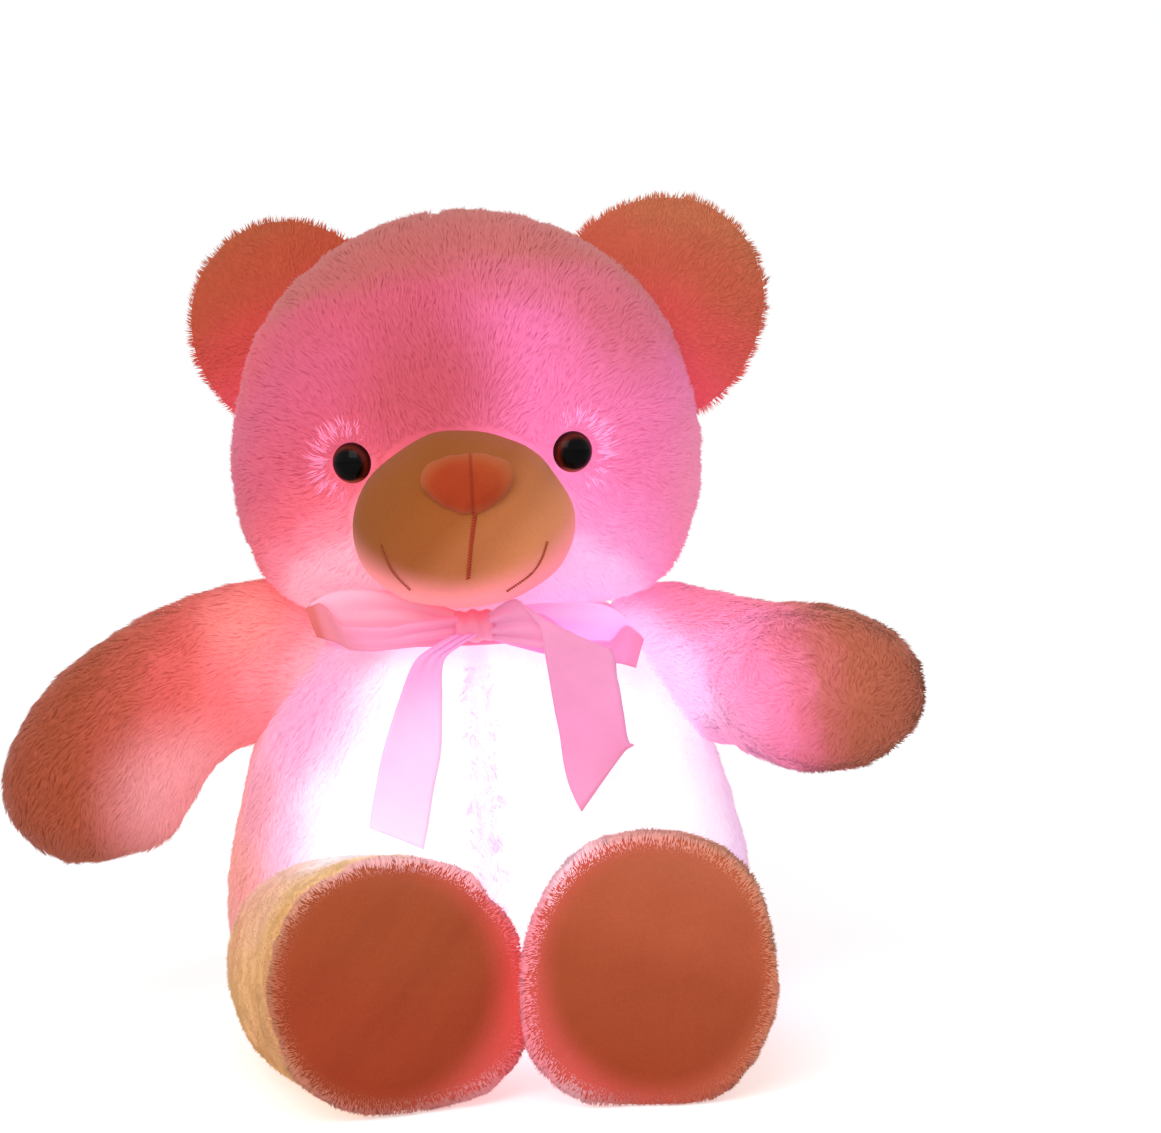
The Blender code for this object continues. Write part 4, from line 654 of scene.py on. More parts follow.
def make_materials():
    """Every finish of the bear by name."""
    # The pile's stops and spots are painted light: the chest lamp's glow, paler near it and darker, browner
    # far from it, with painted shade in the darker spots
    rosy = [
        (0.086, (254, 172, 192)), (0.097, (252, 130, 152)), (0.107, (238, 104, 124)), (0.120, (220, 92, 118)),
        (0.144, (217, 94, 126)), (0.160, (214, 92, 116)), (0.174, (198, 100, 98)), (0.200, (192, 98, 88)),
    ]
    lilac = [
        (0.078, (252, 196, 242)), (0.090, (252, 154, 210)), (0.102, (253, 138, 196)),
        (0.115, (250, 126, 180)),
        (0.150, (246, 122, 174)), (0.164, (228, 112, 142)), (0.178, (208, 108, 108)), (0.205, (198, 104, 92)),
    ]
    chest_right = [
        (0.050, (252, 250, 253)), (0.066, (252, 234, 250)), (0.080, (251, 190, 220)),
        (0.094, (249, 176, 206)),
        (0.104, (242, 160, 172)), (0.114, (242, 164, 158)), (0.130, (226, 156, 116)),
    ]
    chest_left = [
        (0.062, (252, 246, 252)), (0.076, (252, 236, 251)), (0.090, (250, 216, 249)),
        (0.106, (247, 188, 222)), (0.130, (236, 160, 180)),
    ]
    ear_right = [
        (0.150, (240, 84, 100)), (0.172, (214, 78, 72)), (0.190, (196, 84, 58)), (0.208, (186, 92, 60)),
        (0.220, (186, 96, 62)),
    ]
    ear_left = [
        (0.150, (246, 92, 108)), (0.172, (224, 90, 84)), (0.190, (208, 98, 74)), (0.208, (202, 112, 78)),
        (0.220, (200, 112, 76)),
    ]
    fringe_right = [
        (-0.092, (220, 160, 104)), (-0.080, (226, 168, 128)), (-0.068, (214, 146, 120)),
        (-0.030, (236, 176, 176)),
        (-0.006, (244, 168, 178)), (0.003, (232, 108, 116)), (0.010, (222, 92, 100)),
    ]
    fringe_left = [
        (0.006, (244, 116, 130)), (0.014, (246, 146, 160)), (0.024, (252, 196, 208)),
        (0.050, (226, 150, 142)),
        (0.078, (214, 136, 108)), (0.092, (216, 138, 110)),
    ]
    hip_outer = [
        (0.052, (254, 244, 248)), (0.064, (254, 226, 222)), (0.074, (252, 206, 172)),
        (0.086, (238, 190, 134)),
        (0.100, (228, 172, 112)), (0.120, (218, 156, 100)),
    ]
    hip_inner = [
        (0.050, (254, 228, 242)), (0.074, (248, 156, 180)), (0.092, (234, 112, 124)), (0.115, (214, 90, 96)),
    ]
    sole_way, sole_middle = (5.0, 0.0, 17.0), (0.0, -0.15, 0.046)
    return {
        "head": plush(
            "plush_head", rosy, lilac, split=(-0.016, 0.026), glow=(0.08, 0.18, 0.52, 0.37),
            light_and_shade_spots=[
                ((-0.012, -0.058, 0.229), 0.038, (198, 82, 94)),
                ((0.084, -0.012, 0.188), 0.044, (254, 148, 184)),
                ((0.052, -0.034, 0.246), 0.034, (226, 108, 128)),
                ((-0.074, -0.010, 0.238), 0.030, (226, 86, 106)),
            ],
        ),
        "ray": plush(
            "plush_ray", [(0.0, (244, 134, 172)), (0.2, (244, 134, 172))],
            [(0.0, (253, 158, 214)), (0.2, (253, 158, 214))],
            glow=(0.08, 0.18, 0.50, 0.42), tone_and_shade_share=0.35,
        ),
        "tuft": plush(
            "plush_tuft", [(0.0, (246, 214, 248)), (0.2, (246, 190, 228))], glow=(0.05, 0.12, 0.50, 0.42),
            tone_and_shade_share=0.20,
        ),
        "body": plush(
            "plush_body", chest_right, chest_left, centre=(0.008, -0.055, 0.076),
            glow=(0.05, 0.12, 0.66, 0.43), mottle=0.006,
            seam=(250, 222, 246),
            light_and_shade_spots=[
                ((-0.090, -0.022, 0.056), 0.036, (246, 158, 146)),
                ((-0.062, -0.040, 0.117), 0.036, (250, 160, 202)),
                ((-0.086, -0.030, 0.086), 0.024, (238, 148, 164)),
            ],
        ),
        "arm_right": plush(
            "plush_arm_right",
            [
                (0.066, (249, 184, 200)), (0.082, (252, 138, 148)), (0.096, (248, 120, 124)),
                (0.112, (226, 100, 95)), (0.130, (196, 90, 72)), (0.148, (176, 82, 54)),
                (0.175, (170, 77, 47)),
            ],
            light_and_shade_spots=[
                ((-0.108, -0.014, 0.086), 0.040, (254, 174, 182)),
                ((-0.082, -0.010, 0.144), 0.024, (255, 148, 144)),
            ],
            glow=(0.08, 0.17, 0.50, 0.34),
        ),
        "arm_left": plush(
            "plush_arm_left",
            [
                (0.075, (253, 205, 246)), (0.090, (253, 160, 206)), (0.105, (249, 138, 182)),
                (0.114, (234, 122, 148)), (0.123, (208, 110, 104)), (0.132, (194, 105, 80)),
                (0.160, (192, 104, 75)),
            ],
            light_and_shade_spots=[
                ((0.136, -0.040, 0.128), 0.013, (190, 78, 68)),
                ((0.100, -0.03, 0.098), 0.028, (252, 158, 212)),
                ((0.086, -0.010, 0.146), 0.034, (252, 130, 166)),
                ((0.138, -0.030, 0.108), 0.024, (220, 112, 104)),
            ],
            glow=(0.08, 0.17, 0.54, 0.34),
        ),
        "leg_right": plush(
            "plush_leg_right", hip_outer, hip_inner, centre=(-0.020, -0.060, 0.100), split=(-0.034, -0.012),
            mottle=0.005,
            glow=(0.05, 0.12, 0.88, 0.76), tone_and_shade_share=0.06, cloth=0.56,
            light_and_shade_spots=[
                ((-0.088, -0.085, 0.058), 0.036, (222, 148, 110)),
                ((-0.074, -0.080, 0.078), 0.034, (250, 186, 166)),
                ((-0.070, -0.112, 0.060), 0.026, (226, 170, 138)),
            ],
        ),
        "leg_left": plush(
            "plush_leg_left", fringe_left, across=True, mottle=0.004, glow=(0.08, 0.15, 0.60, 0.50),
        ),
        "rim_right": plush(
            "plush_rim_right", fringe_right, across=True, mottle=0.004, glow=(0.08, 0.15, 0.56, 0.46),
            inner=(*SOLE_OVALS["right"], (0.80, 0.94), (180, 86, 60)),
            light_and_shade_spots=[
                ((-0.034, -0.155, -0.014), 0.064, (172, 68, 44)),
                ((-0.084, -0.150, 0.042), 0.046, (168, 96, 60)),
            ],
        ),
        "rim_left": plush(
            "plush_rim_left", fringe_left, across=True, mottle=0.004, glow=(0.08, 0.15, 0.56, 0.46),
            inner=(*SOLE_OVALS["left"], (0.80, 0.94), (186, 88, 62)),
            light_and_shade_spots=[
                ((0.054, -0.155, -0.014), 0.064, (172, 68, 44)),
                ((0.100, -0.150, 0.046), 0.046, (204, 124, 94)),
            ],
        ),
        "ear_right": plush("plush_ear_right", ear_right, glow=(0.15, 0.21, 0.32, 0.26)),
        "ear_left": plush("plush_ear_left", ear_left, glow=(0.15, 0.21, 0.32, 0.26)),
        # Painted light of the chest lamp: the soles are lighter towards the top, and their rims are pinker
        # and glowing on the inner sides
        "sole_right": velour(
            "sole_velour_right", sole_way, sole_middle,
            [
                (-1.0, (160, 58, 33)), (-0.5, (163, 66, 38)), (0.1, (164, 75, 43)), (0.5, (172, 84, 54)),
                (1.0, (196, 106, 84)),
            ],
            grain=1100.0, rim=(*SOLE_OVALS["right"], 0.72, (168, 88, 58), (212, 84, 76), 0.30), glow=0.21,
        ),
        "sole_left": velour(
            "sole_velour_left", sole_way, sole_middle,
            [
                (-1.0, (158, 60, 34)), (-0.5, (164, 68, 38)), (0.1, (168, 76, 46)), (0.5, (182, 88, 58)),
                (1.0, (186, 98, 70)),
            ],
            grain=1100.0, rim=(*SOLE_OVALS["left"], 0.76, (206, 84, 76), (190, 96, 66), 0.32), glow=0.21,
        ),
        # Painted light of the chest lamp below: the muzzle is lighter towards its bottom and the bear's left,
        # and its rim is pink and glowing
        "muzzle": velour(
            "muzzle_velour", (18.0, 0.0, -18.0), MUZZLE_AT,
            [
                (-0.6, (150, 82, 34)), (-0.13, (162, 89, 42)), (0.22, (189, 112, 66)), (0.62, (224, 141, 94)),
                (1.0, (236, 148, 114)),
            ],
            mottle=0.03, grain=1300.0,
            rim=((-0.0042, 0.0, 0.1956), (0.0500, 0.0375), 0.72, (244, 142, 146), (242, 140, 154), 0.52),
            glow=0.21,
        ),
        "nose": velour(
            "nose_velour", (30.0, 0.0, 40.0), (0.0, -0.09, 0.197),
            [(-1.0, (168, 58, 28)), (0.0, (176, 64, 32)), (0.6, (188, 82, 42)), (1.0, (196, 98, 54))],
            grain=1500.0, mottle=0.15, crease=(CREASE_AT, (150, 50, 26)),
            rim=((0.0, 0.0, 0.1975), (0.0165, 0.0108), 0.58, (178, 90, 48), (186, 98, 56), 0.16),
        ),
        "thread": plain("embroidery_thread", (178, 66, 40), 0.75, 0.15, 2200.0, 0.0001, 0.15),
        "smile": plain("smile_thread", (166, 80, 50), 0.75, 0.15, 2200.0, 0.0001, 0.15),
        # The ribbon's stops are painted light of the chest lamp through the satin: paler where it glows
        # behind, darker at the loops' far turns and the tops of knot and band
        "satin_knot": satin(
            "satin_knot", [(0.0, (248, 150, 190)), (1.0, (240, 122, 150))], (0.139, 0.153), 0.22,
        ),
        "satin_band": satin(
            "satin_band", [(0.0, (253, 170, 214)), (1.0, (252, 150, 190))], (0.135, 0.146), 0.25,
        ),
        "satin_loop_right": satin(
            "satin_loop_right",
            [
                (0.0, (250, 142, 182)), (0.20, (252, 156, 196)), (0.36, (240, 134, 150)),
                (0.42, (228, 108, 106)), (0.54, (226, 106, 102)), (0.60, (250, 184, 210)),
                (1.0, (252, 160, 186)),
            ],
            (-1.0, 1.0), 0.22, "turn",
        ),
        "satin_loop_left": satin(
            "satin_loop_left",
            [
                (0.0, (250, 146, 214)), (0.20, (252, 152, 224)), (0.36, (250, 148, 206)),
                (0.42, (247, 142, 192)), (0.54, (245, 136, 184)), (0.60, (242, 192, 250)),
                (1.0, (250, 172, 228)),
            ],
            (-1.0, 1.0), 0.34, "turn",
        ),
        "satin_left": satin(
            "satin_left", [(0.0, (250, 170, 216)), (0.5, (246, 156, 206)), (1.0, (244, 154, 198))],
            (0.080, 0.145), 0.18,
        ),
        "satin_right": satin(
            "satin_right", [(0.0, (244, 222, 248)), (0.5, (248, 206, 246)), (1.0, (250, 164, 222))],
            (0.075, 0.140), 0.22,
        ),
        "eye": eye_gloss(),
    }


# Stuffed forms


def body_rings(steps=5, sides=72):
    outline = [
        (BODY_HEIGHT * h, BODY_SIZES[0] * w, BODY_SIZES[1] * d, BODY_SIZES[2] * d) for h, w, d in BODY_ROWS
    ]
    outline.append((BODY_HEIGHT, NECK_RADIUS, NECK_RADIUS, NECK_RADIUS))
    rings = []
    for height, width, front, back in through(outline, steps, start_pole=True):
        x, y = oval(width, front, back, BODY_SQUARENESS, sides)
        rings.append(np.stack([x, np.minimum(y, BACK_FLAT), np.full(sides, height)], axis=1))
    return rings


def head_rings():
    outline = [(0, NECK_RADIUS, NECK_RADIUS)]
    outline += [(HEAD_HEIGHT * h, HEAD_SIZES[0] * w, HEAD_SIZES[1] * d) for h, w, d in HEAD_ROWS]
    rings = []
    for height, width, depth in through(outline, 5, end_pole=True):
        x, y = oval(width, depth, depth, HEAD_SQUARENESS, 72)
        rings.append(np.stack([x, y, np.full(len(x), BODY_HEIGHT + height)], axis=1))
    return rings


def ball_rings(sizes, rows=24, sides=48, dish=0.0):
    """Rings of an oval ball along X, dished towards -X."""
    turn = np.arange(sides) * 2 * math.pi / sides
    rings = []
    for row in range(1, rows):
        angle = math.pi * row / rows
        share = math.sin(angle)
        x = -sizes[0] * math.cos(angle) - dish * (1 - share**2)
        y, z = sizes[1] * share * np.cos(turn), sizes[2] * share * np.sin(turn)
        rings.append(np.stack([np.full(sides, x), y, z], axis=1))
    return rings


def limb_rings(length, root, rows, half_y, half_z, squareness, bend):
    """Rings of a limb along +X: a round root, then a swelling length that bends towards -Z."""
    outline = [(0, root, root)] + [(length * at, half_y * swell, half_z * swell) for at, swell in rows]
    closed = rows[-1][1] == 0
    turns = np.linspace(math.pi * 0.96, math.pi * 0.56, 7)
    stations = [(root * math.cos(turn), root * math.sin(turn), root * math.sin(turn)) for turn in turns]
    stations += through(outline, 6, end_pole=closed)
    rings = []
    for along, wide, tall in stations:
        tall = max(tall, 0)
        y, z = oval(max(wide, 0), tall, tall, 2 if along <= 0 else squareness, 48)
        turned = bend * max(along, 0) / length
        radius = length / bend if bend else 0
        x_middle = radius * math.sin(turned) if turned else along
        z_middle = -radius * (1 - math.cos(turned))
        rings.append(np.stack([x_middle + z * math.sin(turned), y, z_middle + z * math.cos(turned)], axis=1))
    return rings


def arm_rings(side):
    shoulder, (yaw, pitch, roll), root, sizes, length, bend = ARMS[side]
    turn = turned_through((0, 0, yaw), (0, pitch, 0), (roll, 0, 0))
    return placed(limb_rings(length, root, ARM_ROWS, *sizes, 2, bend), turn, shoulder)


def leg_frame(side):
    """How a leg is turned, where its hip is, and its half sizes."""
    hip, toe_in, _, sizes, _ = LEGS[side]
    return np.array(turned_through((0, 0, -math.pi / 2 - toe_in), (0, -LEG_RISE, 0))), np.array(hip), sizes


def slimmed(side, across, up):
    """The share of a foot's width at a place: its inner side is drawn in above and let out below."""
    sizes = LEGS[side][3]
    inner = np.clip(across * (-1 if side == "left" else 1) / (sizes[0] * 0.4), 0, 1)
    height = np.clip(up / sizes[1], -1, 1)
    return 1 - inner * np.where(height > 0, FOOT_SLIM, FOOT_SPREAD) * height


def leg_rings(side):
    turn, hip, sizes = leg_frame(side)
    rows = ((0.34, LEGS[side][4]), *LEG_ROWS)
    rings = limb_rings(LEG_LENGTH, LEGS[side][2], rows, *sizes, LEG_SQUARENESS, 0)
    for ring in rings:
        grown = np.clip(ring[:, 0] / LEG_LENGTH * 1.5 - 0.3, 0, 1)
        ring[:, 1] *= 1 - grown * (1 - slimmed(side, ring[:, 1], ring[:, 2]))
    return placed(rings, turn, hip)


def placed(rings, turn, at):
    """The rings turned and moved to their place."""
    matrix = np.array(turn)
    return [ring @ matrix.T + np.array(at) for ring in rings]


def head_spot(out, up):
    """The place on the face at this distance out and up, and the direction out of the skin there."""
    middle = HEAD_HEIGHT * HEAD_MIDDLE_SHARE
    share = (out / HEAD_SIZES[0]) ** 2 + ((up - middle) / (HEAD_HEIGHT - middle)) ** 2
    front = -HEAD_SIZES[1] * math.sqrt(1 - share)
    away = Vector((out / HEAD_SIZES[0] ** 2, front / HEAD_SIZES[1] ** 2, (up - middle) / middle**2))
    return Vector((out, front, up + BODY_HEIGHT)), away.normalized()


def muzzle_spot(out, up, grown=0.0):
    """The place on the muzzle's front at this distance out and up from its centre."""
    flat = out / (1 - MUZZLE_TAPER * up / MUZZLE_SIZES[2])
    share = (flat / (MUZZLE_SIZES[0] + grown)) ** 2 + (up / (MUZZLE_SIZES[2] + grown)) ** 2
    front = (MUZZLE_SIZES[1] + grown) * math.sqrt(max(0.0, 1 - share))
    return Vector(MUZZLE_AT) + Vector((out, -front, up))


def limb_lines():
    """The rings of the four limbs by name."""
    lines = {f"arm_{side}": arm_rings(side) for side in ARMS}
    lines.update({f"leg_{side}": leg_rings(side) for side in LEGS})
    return lines


def filled(pieces):
    """Fills the skins like a stuffed toy: cloth under pressure, no point moved further than the cap."""
    starts = {}
    for obj in pieces:
        obj.data.remesh_voxel_size = EAR_VOXEL if obj.name.startswith("ear") else VOXEL
        only(obj)
        bpy.ops.object.voxel_remesh()
        obj.data.shade_smooth()
        starts[obj] = coordinates(obj) - START_INSET * normals(obj)
        set_coordinates(obj, starts[obj])
    simulate(pieces, starts)
    for obj in pieces:
        points = above(coordinates(obj), 0)
        if obj.name == "body_plush":
            points[:, 1] = np.minimum(points[:, 1], BACK_FLAT)
        set_coordinates(obj, points)
        applied(obj, "SUBSURF", levels=1, render_levels=1)
        set_coordinates(obj, above(coordinates(obj), 0))


def simulate(pieces, starts):
    for obj in pieces:
        cloth = obj.modifiers.new("Fill", "CLOTH")
        cloth.settings.quality = 5
        cloth.settings.mass = 0.3
        cloth.settings.use_pressure = True
        cloth.settings.uniform_pressure_force = FILL_PRESSURE
        cloth.settings.effector_weights.gravity = 0
        cloth.point_cache.frame_end = FILL_FRAMES
    scene = bpy.context.scene
    for step in range(1, FILL_FRAMES + 1):
        scene.frame_set(step)
    graph = bpy.context.evaluated_depsgraph_get()
    for obj in pieces:
        moved = coordinates(obj.evaluated_get(graph)) - starts[obj]
        size = np.linalg.norm(moved, axis=1, keepdims=True)
        moved *= np.minimum(1, FILL_CAP / np.maximum(size, 1e-9))
        obj.modifiers.clear()
        set_coordinates(obj, starts[obj] + moved)
    scene.frame_set(1)


def make_skins():
    """The closed skins of the body, head, limbs and ears, before they are filled."""
    skins = {"body": lofted("body_plush", body_rings()), "head": lofted("head_plush", head_rings())}
    for name, rings in limb_lines().items():
        skins[name] = lofted(f"{name}_plush", rings)
    for side, (sign, out, swing, sizes) in EARS.items():
        turn = Euler((sign * -EAR_LEAN, 0, -math.pi / 2 + sign * swing)).to_matrix()
        rings = ball_rings((EAR_THICKNESS, *sizes), dish=EAR_DISH)
        rings = placed(rings, turn, (sign * out, EAR_BACK, BODY_HEIGHT + EAR_UP))
        skins[f"ear_{side}"] = lofted(f"ear_{side}_plush", rings)
    filled(list(skins.values()))
    return skins


def seam_groove(obj):
    """Draws the skin in along the seam down the middle of the front."""
    points, outward = coordinates(obj), normals(obj)
    pull = SEAM_DEPTH * np.exp(-((points[:, 0] / SEAM_WIDTH) ** 2)) * (points[:, 1] < 0)
    set_coordinates(obj, points - outward * pull[:, None])


def eye_sockets(obj):
    """Draws the face in round each eye."""
    points, outward = coordinates(obj), normals(obj)
    for out in EYES.values():
        at, _ = head_spot(out, EYE_UP)
        near = np.linalg.norm(points - np.array(at), axis=1)
        points = points - outward * (SOCKET_DEPTH * np.exp(-((near / SOCKET_WIDTH) ** 2)))[:, None]
    set_coordinates(obj, points)


# Pile


def scattered(obj, count, rng):
    """Places spread evenly over a skin, with the skin's normals there."""
    mesh = obj.data
    mesh.calc_loop_triangles()
    corners = read_values(mesh.loop_triangles, "vertices", 3, np.int32)
    points, outward = coordinates(obj), normals(obj)
    a, b, c = (points[corners[:, i]] for i in range(3))
    area = np.linalg.norm(np.cross(b - a, c - a), axis=1)
    pick = rng.choice(len(corners), size=count, p=area / area.sum())
    root, share = np.sqrt(rng.random(count)), rng.random(count)
    weights = np.stack([1 - root, root * (1 - share), root * share], axis=1)[:, :, None]
    return (points[corners[pick]] * weights).sum(axis=1), unit((outward[corners[pick]] * weights).sum(axis=1))


def make_pile(
    name, skin, count, combed, finish, seed, bare, length=1.0, width=1.0, part=None, flat=0.0, play=1.0,
):
    """A pile of soft locks on a skin, each a slim bent spindle rooted under the surface.

    combed gives the way that the pile lies, and bare the roots to leave out and the share of length of
    the rest. part keeps one quarter: left (1) or right (-1), front (-1) or back (1), and a share of its
    locks. flat is added to both leans, and play scales how much the locks' tones differ at random.
    """
    rng = np.random.default_rng(seed)
    points, outward = scattered(skin, count, rng)
    keep = ~((points[:, 2] < 0.002) & (outward[:, 2] < -0.5))
    if part:
        keep &= (points[:, 0] * part[0] > 0) & (outward[:, 1] * part[1] > 0)
        keep &= rng.random(len(points)) < part[2]
    points, outward = points[keep], outward[keep]
    share = length * bare(points, outward)
    keep = share > 0.05
    points, outward, share = points[keep], outward[keep], share[keep]
    count = len(points)
    lie = np.array(combed(points, outward), float)
    lie = unit(lie - outward * (lie * outward).sum(axis=1, keepdims=True))
    across = np.cross(outward, lie)
    swirl = 0.50 * waves(points, 0.018, seed + 1) + 0.26 * waves(points, 0.007, seed + 2)
    swirl += rng.normal(0, 0.09, count)
    lie = lie * np.cos(swirl)[:, None] + across * np.sin(swirl)[:, None]
    across = np.cross(outward, lie)
    size = PILE_LENGTH * share * (1 + 0.16 * waves(points, 0.010, seed + 3) + rng.uniform(-0.16, 0.16, count))
    lift = 0.10 * waves(points, 0.010, seed + 4) + rng.normal(0, 0.04, count) + flat
    first, last = PILE_LEANS[0] + lift, PILE_LEANS[1] + lift

    def way(lean):
        return outward * np.cos(lean)[:, None] + lie * np.sin(lean)[:, None]

    middle = points + way(first) * (size * PILE_BEND_SHARE)[:, None]
    tip = middle + way(last) * (size * (1 - PILE_BEND_SHARE))[:, None]
    root = points - outward * PILE_ROOT_DEPTH
    radius = PILE_RADIUS * width * rng.uniform(0.75, 1.2, count) * np.sqrt(np.minimum(share, 1))
    ring = []
    for turn in (math.pi / 2, math.pi * 7 / 6, math.pi * 11 / 6):
        ring.append(middle + (outward * math.sin(turn) * 0.6 + across * math.cos(turn)) * radius[:, None])
    grid = np.stack([root, *ring, tip], axis=1)
    points = above(grid.reshape(-1, 3), FLOOR_CLEARANCE)
    grid = points.reshape(grid.shape)
    pattern = np.array([(0, 1, 3), (0, 2, 1), (0, 3, 2), (4, 3, 1), (4, 1, 2), (4, 2, 3)])
    faces = (np.arange(count)[:, None, None] * LOCK_POINTS + pattern[None]).reshape(-1, 3)
    mesh = bpy.data.meshes.new(name)
    mesh.vertices.add(count * LOCK_POINTS)
    mesh.vertices.foreach_set("co", grid.reshape(-1).astype(np.float32))
    mesh.loops.add(len(faces) * 3)
    mesh.loops.foreach_set("vertex_index", faces.reshape(-1).astype(np.int32))
    mesh.polygons.add(len(faces))
    mesh.polygons.foreach_set("loop_start", (np.arange(len(faces)) * 3).astype(np.int32))
    mesh.update(calc_edges=True)
    mesh.shade_smooth()
    # Each lock's tone differs at random; painted shade darkens its root and painted light brightens its tip
    fresh = rng.uniform(-0.18, 0.18, count) * play
    tone_and_shade = fresh[:, None] + np.array(LOCK_SHADING)
    add_values(mesh, "tone_and_shade", tone_and_shade)
    spindle = grid - grid[:, 1:4].mean(axis=1)[:, None]
    soft = unit(0.82 * outward[:, None] + 0.18 * unit(spindle))
    mesh.normals_split_custom_set_from_vertices(soft.reshape(-1, 3).astype(np.float32))
    low, high = points.min(axis=0), points.max(axis=0)
    back = np.repeat(outward[:, 1] > 0, LOCK_POINTS)
    u = (points[:, 0] - low[0]) / (high[0] - low[0]) * 0.49 + np.where(back, 0.505, 0.0)
    v = (points[:, 2] - low[2]) / (high[2] - low[2]) * 0.99
    add_map(mesh, "OFBake", np.stack([u, v], axis=1))
    obj = linked(name, mesh)
    mesh.materials.append(finish)
    return obj


def away_from(centre, pull):
    """Pile that streams away from a centre, with a steady pull added."""
    centre, pull = np.array(centre, float), np.array(pull, float)
    return lambda points, outward: unit(points - centre) + pull


def streaming(way):
    way = np.array(way, float)
    return lambda points, outward: np.tile(way, (len(points), 1))


# Which way each skin's pile lies, and where it is bare or short

FACE_MIDDLE = np.array((0.0, -0.066, 0.194))


def head_flow(points, outward):
    """Away from the middle of the face, and away from each eye close to it."""
    lie = unit(points - FACE_MIDDLE) + np.array((0.0, 0.15, -0.10))
    for out in EYES.values():
        at, _ = head_spot(out, EYE_UP)
        off = points - np.array(at)
        near = np.exp(-((np.linalg.norm(off, axis=1) / 0.015) ** 2))
        lie += unit(off) * near[:, None] * 2
    return lie


def body_flow(points, outward):
    """Downwards, and slightly in towards the seam down the front."""
    parting = np.sign(points[:, 0]) * np.exp(-((points[:, 0] / 0.012) ** 2)) * (points[:, 1] < 0)
    return np.stack([points[:, 0] * 3 - parting * 0.45, np.zeros(len(points)), -np.ones(len(points))], axis=1)


def along_limb(rings, start):
    """Along the middle line of a limb, from its root to its end."""
    line = np.array([ring.mean(axis=0) for ring in rings[start:]])
    ways = unit(np.gradient(line, axis=0))

    def flow(points, outward):
        near = np.linalg.norm(points[:, None] - line[None], axis=2).argmin(axis=1)
        return ways[near]

    return flow


def outside(*skins, clear=0.0005):
    """Full length where a root lies outside the other skins, none inside them."""
    trees = [tree_of(skin) for skin in skins]

    def share(points, outward):
        found = np.ones(len(points))
        for tree in trees:
            found *= depth_in(tree, points) < clear
        return found

    return share


def body_bare(hidden):
    rectangle = np.array(FLAP_EDGES)

    def share(points, outward):
        found = hidden(points, outward)
        in_flap = (np.abs(points[:, 0]) < rectangle[0] - 0.003) & (points[:, 1] > 0.030)
        in_flap &= (points[:, 2] > rectangle[1] + 0.003) & (points[:, 2] < rectangle[2] - 0.001)
        found *= ~in_flap
        found *= ~((points[:, 2] > 0.1370) & (points[:, 2] < 0.1475))
        for side in TAILS:
            line = np.array([centre for centre, _, _ in tail_line(side, 4)])
            gap = np.linalg.norm(points[:, None, ::2] - line[None, :, ::2], axis=2).min(axis=1)
            found *= np.where((gap < 0.0125) & (points[:, 1] < 0), 0.45, 1.0)
        return found

    return share


def head_bare(hidden):
    sizes, centre = np.array(MUZZLE_SIZES) + 0.0002, np.array(MUZZLE_AT)

    def share(points, outward):
        found = hidden(points, outward)
        found *= (((points - centre) / sizes) ** 2).sum(axis=1) > 1
        for out in EYES.values():
            at, _ = head_spot(out, EYE_UP)
            gap = np.linalg.norm(points - np.array(at), axis=1)
            found *= np.where(gap < EYE_RADIUS * 0.92, 0.0, np.where(gap < EYE_RADIUS * 1.7, 0.62, 1.0))
        return found

    return share


def eye_rays(side):
    """Longer locks that stream away from an eye on its outer side: the way they lie, and where they grow."""
    at, _ = head_spot(EYES[side], EYE_UP)
    at = np.array(at)
    outer = unit(np.array((math.copysign(1.0, EYES[side]), 0.0, 0.30)))

    def flow(points, outward):
        return points - at

    def bare(points, outward):
        off = points - at
        gap = np.linalg.norm(off, axis=1) / EYE_RADIUS
        lean = (unit(off) * outer).sum(axis=1)
        angle = np.arctan2(off[:, 2], off[:, 0])
        tuft = 0.78 + 0.22 * np.sin(angle * 19)
        near = (gap > 1.0) & (gap < 1.75) & (lean > -0.15)
        return np.where(near, tuft * np.clip(lean + 0.45, 0, 1) * 1.1, 0.0)

    return flow, bare


def ear_bare(hidden):
    """Shorter locks round the rim of an ear."""
    return lambda points, outward: hidden(points, outward) * np.clip(np.abs(outward[:, 1]) * 1.1, 0.42, 1.0)


def seam_tufts():
    """Tufts that part to both sides along the seam down the belly: the way they lie, and where they grow."""
    def flow(points, outward):
        side = np.sign(points[:, 0] + 0.0008 * np.sin(points[:, 2] * 700))
        return np.stack([side * 0.9, np.zeros(len(points)), -np.ones(len(points))], axis=1)

    def bare(points, outward):
        near = (np.abs(points[:, 0]) < 0.0042) & (outward[:, 1] < -0.2)
        near &= (points[:, 2] > 0.020) & (points[:, 2] < 0.132)
        return near * (0.75 + 0.35 * np.sin(points[:, 2] * 520))

    return flow, bare


def leg_bare(hidden, side):
    turn, hip, _ = leg_frame(side)

    def share(points, outward):
        found = hidden(points, outward)
        along = (points - hip) @ turn[:, 0]
        return found * (along < LEG_LENGTH * 0.955)

    return share


# Face pieces


